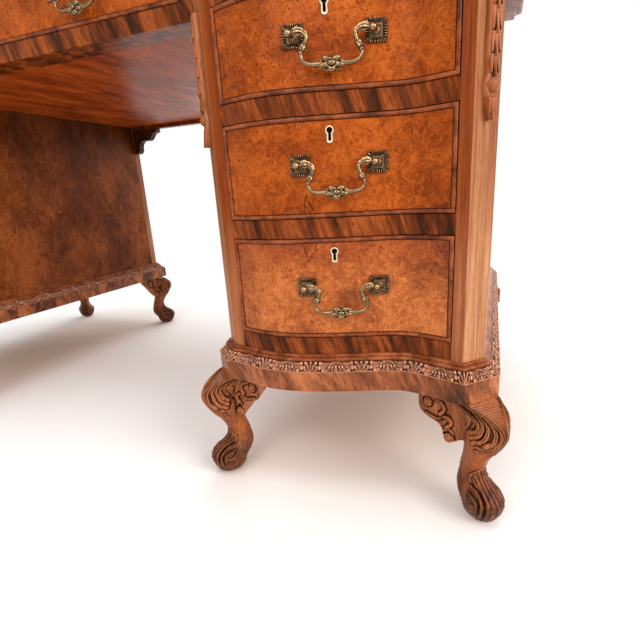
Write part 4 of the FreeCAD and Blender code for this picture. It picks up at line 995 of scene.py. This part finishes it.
def lock_case(x, back, top):
    """The lock's back, let into the board, with four screws and its bolt plate."""
    half, tall, lip, out = 28.0, 36.0, 1.2, 1.5
    screw_x, screw_z, pin_drop = 6.5, 6.0, 16.0
    rings = []
    for inset, y in ((0, -2.0), (0, 0.2), (lip / 2, 0.7), (lip * 2, 0.7), (lip * 2.6, out), (14, out)):
        xs = np.array((-half + inset, half - inset, half - inset, -half + inset))
        zs = np.array((top - tall + inset, top - tall + inset, top - inset, top - inset))
        rings.append(np.stack([x + xs, np.full(4, back + y), zs], -1))
    shape = Shape().grid(rings, ring=True).cap(rings[-1])
    for sx in (-1, 1):
        for z in (top - screw_z, top - tall + screw_z):
            shape.ball((x + sx * (half - screw_x), back + out, z), (2.6, 0.9, 2.6), 14, 8)
    return shape.ball((x, back + out, top - pin_drop), (4.0, 1.2, 4.0), 18, 8)


# Half of a bail from its post to the middle: distance inward, distance up, radius of the bar
BAIL_POINTS = ((2.0, 0.0, 1.8), (5.0, 0.6, 2.4), (7.5, 1.2, 3.7), (10.5, 1.4, 4.0), (13.5, 1.0, 3.2),
               (16.5, -0.6, 2.7), (18.8, -3.8, 2.6), (18.6, -8.0, 2.5), (16.6, -12.4, 2.2),
               (14.2, -16.4, 2.0), (12.6, -20.4, 2.1), (12.8, -24.0, 2.1), (15.0, -27.6, 2.2),
               (18.8, -29.9, 2.3), (24.0, -31.0, 2.4), (30.0, -31.2, 3.0), (38.0, -31.2, 2.6),
               (45.3, -31.2, 2.4))
FLOWER_LONG, FLOWER_DEEP, FLOWER_TALL, FLOWER_Z = 12.4, 5.6, 7.8, -31.2


def bail():
    """A swan-neck bail with leaf knuckles, beaded collars and a flower: X along it, Y into the drawer."""
    inward, up, radius = np.array(BAIL_POINTS).T
    line = np.column_stack([inward - HANDLE_HALF, np.zeros(len(up)), up, radius])
    dense = path_through(np.concatenate([line, line[-2::-1] * (-1, 1, 1, 1)]), 380)
    run = lengths(dense[:, :3])
    run = np.minimum(run, run[-1] - run)
    turn = circle(24)
    leaf = smooth_step(3.0, 5.0, run) * smooth_step(22.0, 15.0, run)
    flutes = 1 + 0.2 * np.outer(leaf, np.cos(turn * 5 + 0.6))
    notches = 1 - 0.10 * (leaf * np.abs(np.sin(run * 0.8)) ** 3)[:, None]
    beads = 2.3 * swell((run - 31.0) / 3.6) + 0.8 * swell((run - 36.0) / 1.2)
    radii = dense[:, 3:4] * flutes * notches + np.outer(beads, 1 + 0.28 * np.cos(turn * 6))
    return Shape().tube(dense[:, :3], radii, len(turn)).join(flower())


def flower():
    """The flower in the middle of a bail: a round button, five petals and a leaf at each side."""
    rows, turns = 56, 84
    polar = np.linspace(0, math.pi, rows)[:, None]
    turn = circle(turns)[None, :]
    lift = 1 + 0.28 * (np.abs(np.cos(turn * 2.5 + math.pi / 4)) * 2 - 1) * bump(polar - 0.95, 0.34)
    lift = lift - 0.30 * bump(polar - 0.46, 0.10) + 0.16 * bump(polar, 0.30)
    lift = lift - 0.10 * bump(polar - 1.36, 0.12)
    side = np.abs(np.cos(turn)) ** 3
    veins = 0.05 * np.cos(np.sin(turn) * 16) * bump(polar - 1.6, 0.4)
    lift = lift + side * (0.16 * bump(polar - 1.65, 0.30) + veins)
    points = np.stack([np.sin(polar) * np.cos(turn) * FLOWER_LONG * lift,
                       -np.cos(polar) * FLOWER_DEEP * lift * np.ones_like(turn),
                       np.sin(polar) * np.sin(turn) * FLOWER_TALL * lift + FLOWER_Z], -1)
    return Shape().grid(points, ring=True)


# Carved drops and brackets

# Half width of a drop by height, and the tops of its husks
DROP_HALF = ((-150, -146, -140, -132, -124, -112, -106, -98, -60, -30, -8, 0),
             (1.0, 3.2, 5.0, 5.2, 7.2, 7.6, 5.6, 5.8, 6.6, 7.2, 7.9, 7.6))
HUSK_TOPS = (0.0, -24.0, -47.0, -69.0, -89.0, -128.0)
BOSS_Z, BOSS_R, BOSS_OUT, BOSS_CLEAR = -117.0, 7.2, 5.4, 8.4


def corner_drop():
    """A chain of husks over a round boss: X across the canted corner, Y into it, top at zero."""
    rows, columns = 210, 46
    z = np.linspace(0, -DROP_LENGTH, rows)[:, None] * np.ones((1, columns))
    half = spline(*DROP_HALF)(z)
    x = half * np.linspace(-1, 1, columns)[None, :]
    lift = np.zeros_like(x)
    for count, top in enumerate(HUSK_TOPS):
        tall = 29.0 - 2.2 * count if count < 5 else 24.0
        s = np.clip((top - z) / tall, 0, 1.2)
        inside = (z <= top) * (s <= 1.0)
        middle = swell(x / (2.6 * np.sqrt(np.clip(1.02 - s, 0.02, 1)) + 0.5), 0.6)
        aside = np.abs(x) - 4.3 * (0.75 + 0.35 * s)
        flank = swell(aside / (2.7 * np.sqrt(np.clip(1.0 - s * 1.15, 0.02, 1))), 0.6)
        petal = np.maximum(middle * (1.6 + 3.0 * s), flank * (1.2 + 2.2 * s) * (s < 0.87))
        lift = np.maximum(lift, petal * inside * smooth_step(0, 0.1, s + 0.05))
    boss = np.hypot(x, z - BOSS_Z)
    lift = np.where(boss < BOSS_CLEAR, BOSS_OUT * swell(boss / BOSS_R), lift)
    edge = np.sqrt(np.clip(1 - (x / np.maximum(half, 0.1)) ** 6, 0, 1))
    front = np.stack([x, -(0.8 + lift) * edge, z], -1)
    back = at_depth(front, DROP_OUT)
    shape = Shape().grid(front)
    for side in (np.s_[0], np.s_[-1], np.s_[:, 0], np.s_[:, -1]):
        shape.grid([front[side], back[side]])
    return shape


# Fronds of a knee-space bracket: points from root to tip, half width
BRACKET_FRONDS = (([(-6, -8), (-26, -9), (-50, -7), (-82, -5)], 3.2),
                  ([(-6, -20), (-24, -22), (-42, -20), (-60, -20)], 3.4),
                  ([(-5, -34), (-14, -38), (-15, -50)], 3.4))


def knee_bracket():
    """A carved bracket in a rear corner of the knee space: X from its tip to the side, top at zero."""
    edge = path_through([(-92, -10), (-79, -13), (-70, -22), (-60.5, -30), (-46, -30.5), (-31, -33),
                         (-22, -47), (-20, -60), (-10, -66), (0, -66)], 200)
    xx, zz = hung_grid(edge, 130, 70)
    gap = distance_to(edge, xx, zz)[0]
    lift = 2.2 * smooth_step(4.2, 3.0, gap) - 1.4 * bump(gap - 5.2, 1.0)
    for stem, wide in BRACKET_FRONDS:
        near, t = distance_to(path_through(stem, 24), xx, zz)
        lift = np.maximum(lift, 2.6 * swell(near / (wide * (0.5 + 0.6 * t)), 0.6) - 0.8 * bump(near, 0.6))
    front = np.stack([xx, 1.6 - lift, zz], -1)
    return plate(front, at_depth(front[0], BRACKET_T))


# Writing top

# Moulded edge from the underside up: overhang, height
TOP_PROFILE = ((12.0, 0.0), (22.0, 0.0), (22.4, 1.6), (23.2, 4.2), (25.0, 6.6), (26.6, 8.2), (26.8, 9.6),
               (30.6, 10.0), (31.0, 11.0), (33.0, 11.3), (35.6, 12.6), (37.3, 15.0), (37.9, 18.0),
               (37.5, 21.0), (36.0, 23.4), (34.2, 24.4), (33.6, 25.2), (32.6, 26.4), (30.0, TOP_T))


def top_line(overhang):
    """Plan of the writing top moved out by an overhang: polar angles and distances from its middle."""
    *_, end, outer_side = front_corners(overhang)
    half = [end, *face_moved(face_line[3:-1], overhang)[::-1]]
    edge = FRONT_Y - overhang
    half += [(INNER_X * share, edge + recess * TOP_RECESS) for share, recess in TOP_FRONT_SHARES]
    half = np.array(half)
    front = np.concatenate([half, [(0.0, edge + TOP_RECESS)], half[::-1] * (-1, 1)])
    front = path_through(front, 1600)
    sides = [outer_side, (OUTER_X + overhang, BACK_Y + overhang)]
    sides += [(-x, y) for x, y in sides[::-1]]
    corners = np.array([front[0]] + sides + [front[-1]])
    rest = steps(*((a, b, 500) for a, b in zip(corners, corners[1:])))[:-1]
    line = np.concatenate([rest, front[::-1]]) - TOP_MIDDLE
    angle = np.arctan2(line[:, 1], line[:, 0])
    order = np.argsort(angle)
    return angle[order], np.hypot(line[:, 0], line[:, 1])[order]


def writing_top():
    """The top with a moulded edge and a shallow bed for the leather."""
    corners = [(BED_X, BED_Y), (BED_X, -BED_Y)]
    for overhang in (24.0, 30.0, 38.0):
        *_, end, outer_side = front_corners(overhang)
        corners += [end - TOP_MIDDLE, outer_side - TOP_MIDDLE,
                    np.array((OUTER_X + overhang, BACK_Y + overhang)) - TOP_MIDDLE]
    angles = np.unique(np.concatenate([np.linspace(-math.pi, math.pi, 900, endpoint=False),
                                       [math.atan2(y, sign * x) for x, y in corners for sign in (1, -1)]]))

    cos, sin = np.cos(angles), np.sin(angles)

    def ring(reach, height):
        return np.column_stack([TOP_MIDDLE[0] + reach * cos, TOP_MIDDLE[1] + reach * sin,
                                np.full(len(angles), CARCASS_TOP + height)])

    rings = [ring(np.interp(angles, *top_line(overhang), period=TAU), height)
             for overhang, height in TOP_PROFILE]
    least = 1e-9
    to_bed = np.minimum(BED_X / np.maximum(np.abs(cos), least), BED_Y / np.maximum(np.abs(sin), least))
    bed = ring(to_bed, TOP_T)
    floor = bed - (0, 0, LEATHER_BED)
    shape = Shape().grid(rings, ring=True).grid([rings[-1], bed], 1, ring=True).grid([bed, floor], ring=True)
    return shape.cap(floor).cap(rings[0])


# Pieces

FRONT_LOOKS = [BURR, BEAD, OAK, STAIN]
FITTING_LOOKS = [BRASS, RIM, KEYHOLE_SHADE]
RIGHT, AHEAD = np.array((1.0, 0.0)), np.array((0.0, -1.0))


def both_sides(shape, name, body, slot, materials, node_name):
    """A right-hand piece and its mirror image, in place of their CAD nodes."""
    for side, form in (("right", shape), ("left", shape.mirrored())):
        form.build(f"{side}_{name}", body.format(side=side), slot, materials, f"{side}_{node_name}")


def drawer_fittings(posts, lock, level, top, back):
    """What is fixed to a front: posts at their pivots, a keyhole and the lock behind it."""
    fittings = Shape()
    for pivot, seat in posts:
        fittings.join(post(pivot, *seat, level, back))
    seat, along, facing = lock
    fittings.join(escutcheon().placed((*seat, top - KEYHOLE_DROP), along, -facing))
    return fittings.join(lock_case(seat[0], back, top - LOCK_DROP))


both_sides(pedestal_legs(), "legs_carved", "carcass", "walnut", [CARVED], "legs")
both_sides(pedestal_moulding(), "moulding_carved", "carcass", "walnut", [BAND, REED], "carved_moulding")

handle_seat, handle_along, handle_facing = post_seat((MIDDLE_X + HANDLE_ASIDE, 0))
handle_middle = handle_seat + handle_facing * HANDLE_OUT
pivots = [handle_middle + handle_along * HANDLE_HALF * sign for sign in (-1, 1)]
posts = [(pivot, post_seat(pivot)) for pivot in pivots]
lock = post_seat((MIDDLE_X, 0))
bail_shape = bail()
for row, (bottom, tall) in ROWS.items():
    level = bottom + tall / 2 + HANDLE_UP
    drawer, body = f"{row}_drawer", "{side}_" + f"{row}_drawer"
    front = drawer_front(FACE_START + STILE_W, FACE_END - STILE_W, bottom, tall, face_y, FRONT_BACK_Y)
    # The lower fronts take the burr painted with sheen and shade
    looks = [BURR_PAINTED_SHEEN] + FRONT_LOOKS[1:] if row == "lower" else FRONT_LOOKS
    both_sides(front, f"{row}_front_veneered", body, "burr_walnut", looks, drawer + "_front")
    fittings = drawer_fittings(posts, lock, level, bottom + tall, FRONT_BACK_Y)
    both_sides(fittings, f"{row}_fittings", body, "brass", FITTING_LOOKS, drawer + "_hardware")
    hung = bail_shape.placed((*handle_middle, level), handle_along, -handle_facing)
    both_sides(hung, f"{row}_bail_cast", body + "_bail", "brass", [BRASS], drawer + "_bail")

# The centre drawer is as high as the top row, which the loop ends with
flat = drawer_front(-CENTRE_END_X, CENTRE_END_X, bottom, tall, lambda x: np.full_like(x, CENTRE_FACE_Y),
                    CENTRE_BACK_Y)
flat.build("centre_front_veneered", "centre_drawer", "burr_walnut", FRONT_LOOKS, "centre_drawer_front")
posts = []
for side, x in (("left", -CENTRE_HANDLE_X), ("right", CENTRE_HANDLE_X)):
    for pivot_x in (x - HANDLE_HALF, x + HANDLE_HALF):
        seat = np.array((pivot_x, CENTRE_FACE_Y))
        posts.append((seat + AHEAD * HANDLE_OUT, (seat, RIGHT, AHEAD)))
    hung = bail_shape.placed((x, CENTRE_FACE_Y - HANDLE_OUT, level), RIGHT, -AHEAD)
    bail_name = f"centre_drawer_{side}_bail"
    hung.build(f"centre_{side}_bail_cast", bail_name, "brass", [BRASS], bail_name)
fittings = drawer_fittings(posts, ((0.0, CENTRE_FACE_Y), RIGHT, AHEAD), level, bottom + tall, CENTRE_BACK_Y)
fittings.build("centre_fittings", "centre_drawer", "brass", FITTING_LOOKS, "centre_drawer_hardware")

drops = Shape()
for sign, middle_x in ((1, FACE_START - CANT_W / 2), (-1, FACE_END + CANT_W / 2)):
    along = np.array((CANT_W, -CANT_D * sign)) / math.hypot(CANT_W, CANT_D)
    out = facing_of(along)
    place = np.array((middle_x, FRONT_Y + CANT_D / 2)) + out * DROP_OUT
    one = corner_drop().placed((*place, bottom - DROP_UNDER), along, -out)
    drops.join(one).join(one.mirrored())
drops.build("corner_drops_carved", "carcass", "walnut", [CARVED], "corner_drops")

brackets = knee_bracket().placed((INNER_X, BACK_Y - BRACKET_T, BRACKET_TOP), RIGHT, -AHEAD)
brackets.join(brackets.mirrored())
brackets.build("kneehole_brackets_carved", "carcass", "walnut", [SHADED_BRACKET], "kneehole_brackets")
writing_top().build("desktop_moulded", "carcass", "walnut", [RAIL, BURR], "desktop")


# Stage, light and camera, in metres

# The floor shows white from the second of these distances on
FLOOR_HALF, FLOOR_FADE = 9.0, (0.52, 1.40)
WORLD_LIGHT = 0.58
WHITE = (1, 1, 1, 1)
# Area lights: place, target, width, height, power
LIGHTS = {"key": ((0.3, -3.2, 2.4), (0.4, 0, 0.3), 2.2, 1.6, 48),
          "fill": ((3.0, -1.2, 1.6), (0.6, 0, 0.3), 1.8, 1.8, 66),
          "top": ((0.2, 0.2, 3.2), (0.2, 0, 0), 3.0, 3.0, 50),
          "rear": ((-0.2, 2.4, 1.0), (-0.1, 0, 0.1), 3.0, 1.6, 46)}
# The camera of the photograph: place, turns in degrees, focal length and picture width in pixels
CAMERA_AT = (0.7016, -0.8466, 0.4145)
CAMERA_YAW, CAMERA_PITCH, CAMERA_ROLL = 21.383, -16.452, -3.082
FOCAL_PX, PICTURE_PX, SENSOR_MM = 442.4, 640.0, 36.0


def seen_directly(tree):
    """One for the rays that show the background: from the camera, a mirror or glass; zero for the rest."""
    path = node(tree, "LightPath").outputs
    larger = {"operation": "MAXIMUM"}
    either = node(tree, "Math", larger, i0=path["Is Camera Ray"], i1=path["Is Glossy Ray"]).outputs[0]
    return node(tree, "Math", larger, i0=either, i1=path["Is Transmission Ray"]).outputs[0]


def stage_floor():
    """A pale floor that keeps the shadows near the desk, with painted warm shade where the desk is near, and
    runs out into white.
    """
    mesh = bpy.data.meshes.new("floor")
    corners = [(x * FLOOR_HALF, y * FLOOR_HALF, 0) for x, y in ((-1, -1), (1, -1), (1, 1), (-1, 1))]
    mesh.from_pydata(corners, [], [(0, 1, 2, 3)])
    floor = bpy.data.objects.new("floor", mesh)
    scene.collection.objects.link(floor)
    s = Stuff("floor_paint")
    patch = s.times(s.minus(s.noise(s.place, 3.0, 3.0), 0.5), 0.2)
    # Painted shadow: the paint turns darker and warmer where the desk is near and keeps the light off
    light = s.plus(s.open_air(0.6, False), patch)
    paint = s.ramp(light, (0.25, (0.82, 0.66, 0.55)), (0.80, (0.97, 0.96, 0.945)))
    s.done(Base_Color=paint, Roughness=0.8, Specular_IOR_Level=0.2)
    away = s.get("VectorMath", "Value", {"operation": "LENGTH"}, i0=s.place)
    share = s.times(s.level(away, *FLOOR_FADE), seen_directly(s.tree))
    white = s.get("Emission", Color=WHITE, Strength=1.0)
    both = s.get("MixShader", Fac=share, i1=s.shader.outputs[0], i2=white)
    feed(s.tree, s.tree.nodes["Material Output"].inputs["Surface"], both)
    mesh.materials.append(s.material)


def area_light(name, at, target, width, height, power):
    lamp = bpy.data.lights.new(name, "AREA")
    lamp.shape = "RECTANGLE"
    lamp.size, lamp.size_y, lamp.energy = width, height, power
    holder = bpy.data.objects.new(name, lamp)
    holder.location = at
    holder.rotation_euler = (Vector(target) - Vector(at)).to_track_quat("-Z", "Y").to_euler()
    scene.collection.objects.link(holder)


def photo_camera():
    yaw, pitch, roll = (math.radians(turn) for turn in (CAMERA_YAW, CAMERA_PITCH, CAMERA_ROLL))
    ahead = Vector((-math.sin(yaw) * math.cos(pitch), math.cos(yaw) * math.cos(pitch), math.sin(pitch)))
    right = Vector((math.cos(yaw), math.sin(yaw), 0))
    up = right.cross(ahead)
    turned_right = right * math.cos(roll) + up * math.sin(roll)
    turned_up = up * math.cos(roll) - right * math.sin(roll)
    camera = bpy.data.cameras.new("camera")
    camera.sensor_width = SENSOR_MM
    camera.lens = FOCAL_PX * SENSOR_MM / PICTURE_PX
    camera.clip_start = 0.01
    holder = bpy.data.objects.new("camera", camera)
    turn = Matrix((turned_right, turned_up, -ahead)).transposed().to_4x4()
    holder.matrix_world = Matrix.Translation(CAMERA_AT) @ turn
    scene.collection.objects.link(holder)
    scene.camera = holder


def studio_world():
    """White where it is seen, a soft light on everything else."""
    world = bpy.data.worlds.new("studio")
    world.use_nodes = True
    tree = world.node_tree
    soft = tree.nodes["Background"]
    feed(tree, soft.inputs["Color"], WHITE)
    feed(tree, soft.inputs["Strength"], WORLD_LIGHT)
    white = node(tree, "Background", Color=WHITE, Strength=1.0).outputs[0]
    both = node(tree, "MixShader", Fac=seen_directly(tree), i1=soft.outputs[0], i2=white).outputs[0]
    feed(tree, tree.nodes["World Output"].inputs["Surface"], both)
    scene.world = world


stage_floor()
for name, settings in LIGHTS.items():
    area_light(name, *settings)
photo_camera()
studio_world()
scene.view_settings.view_transform = "Standard"
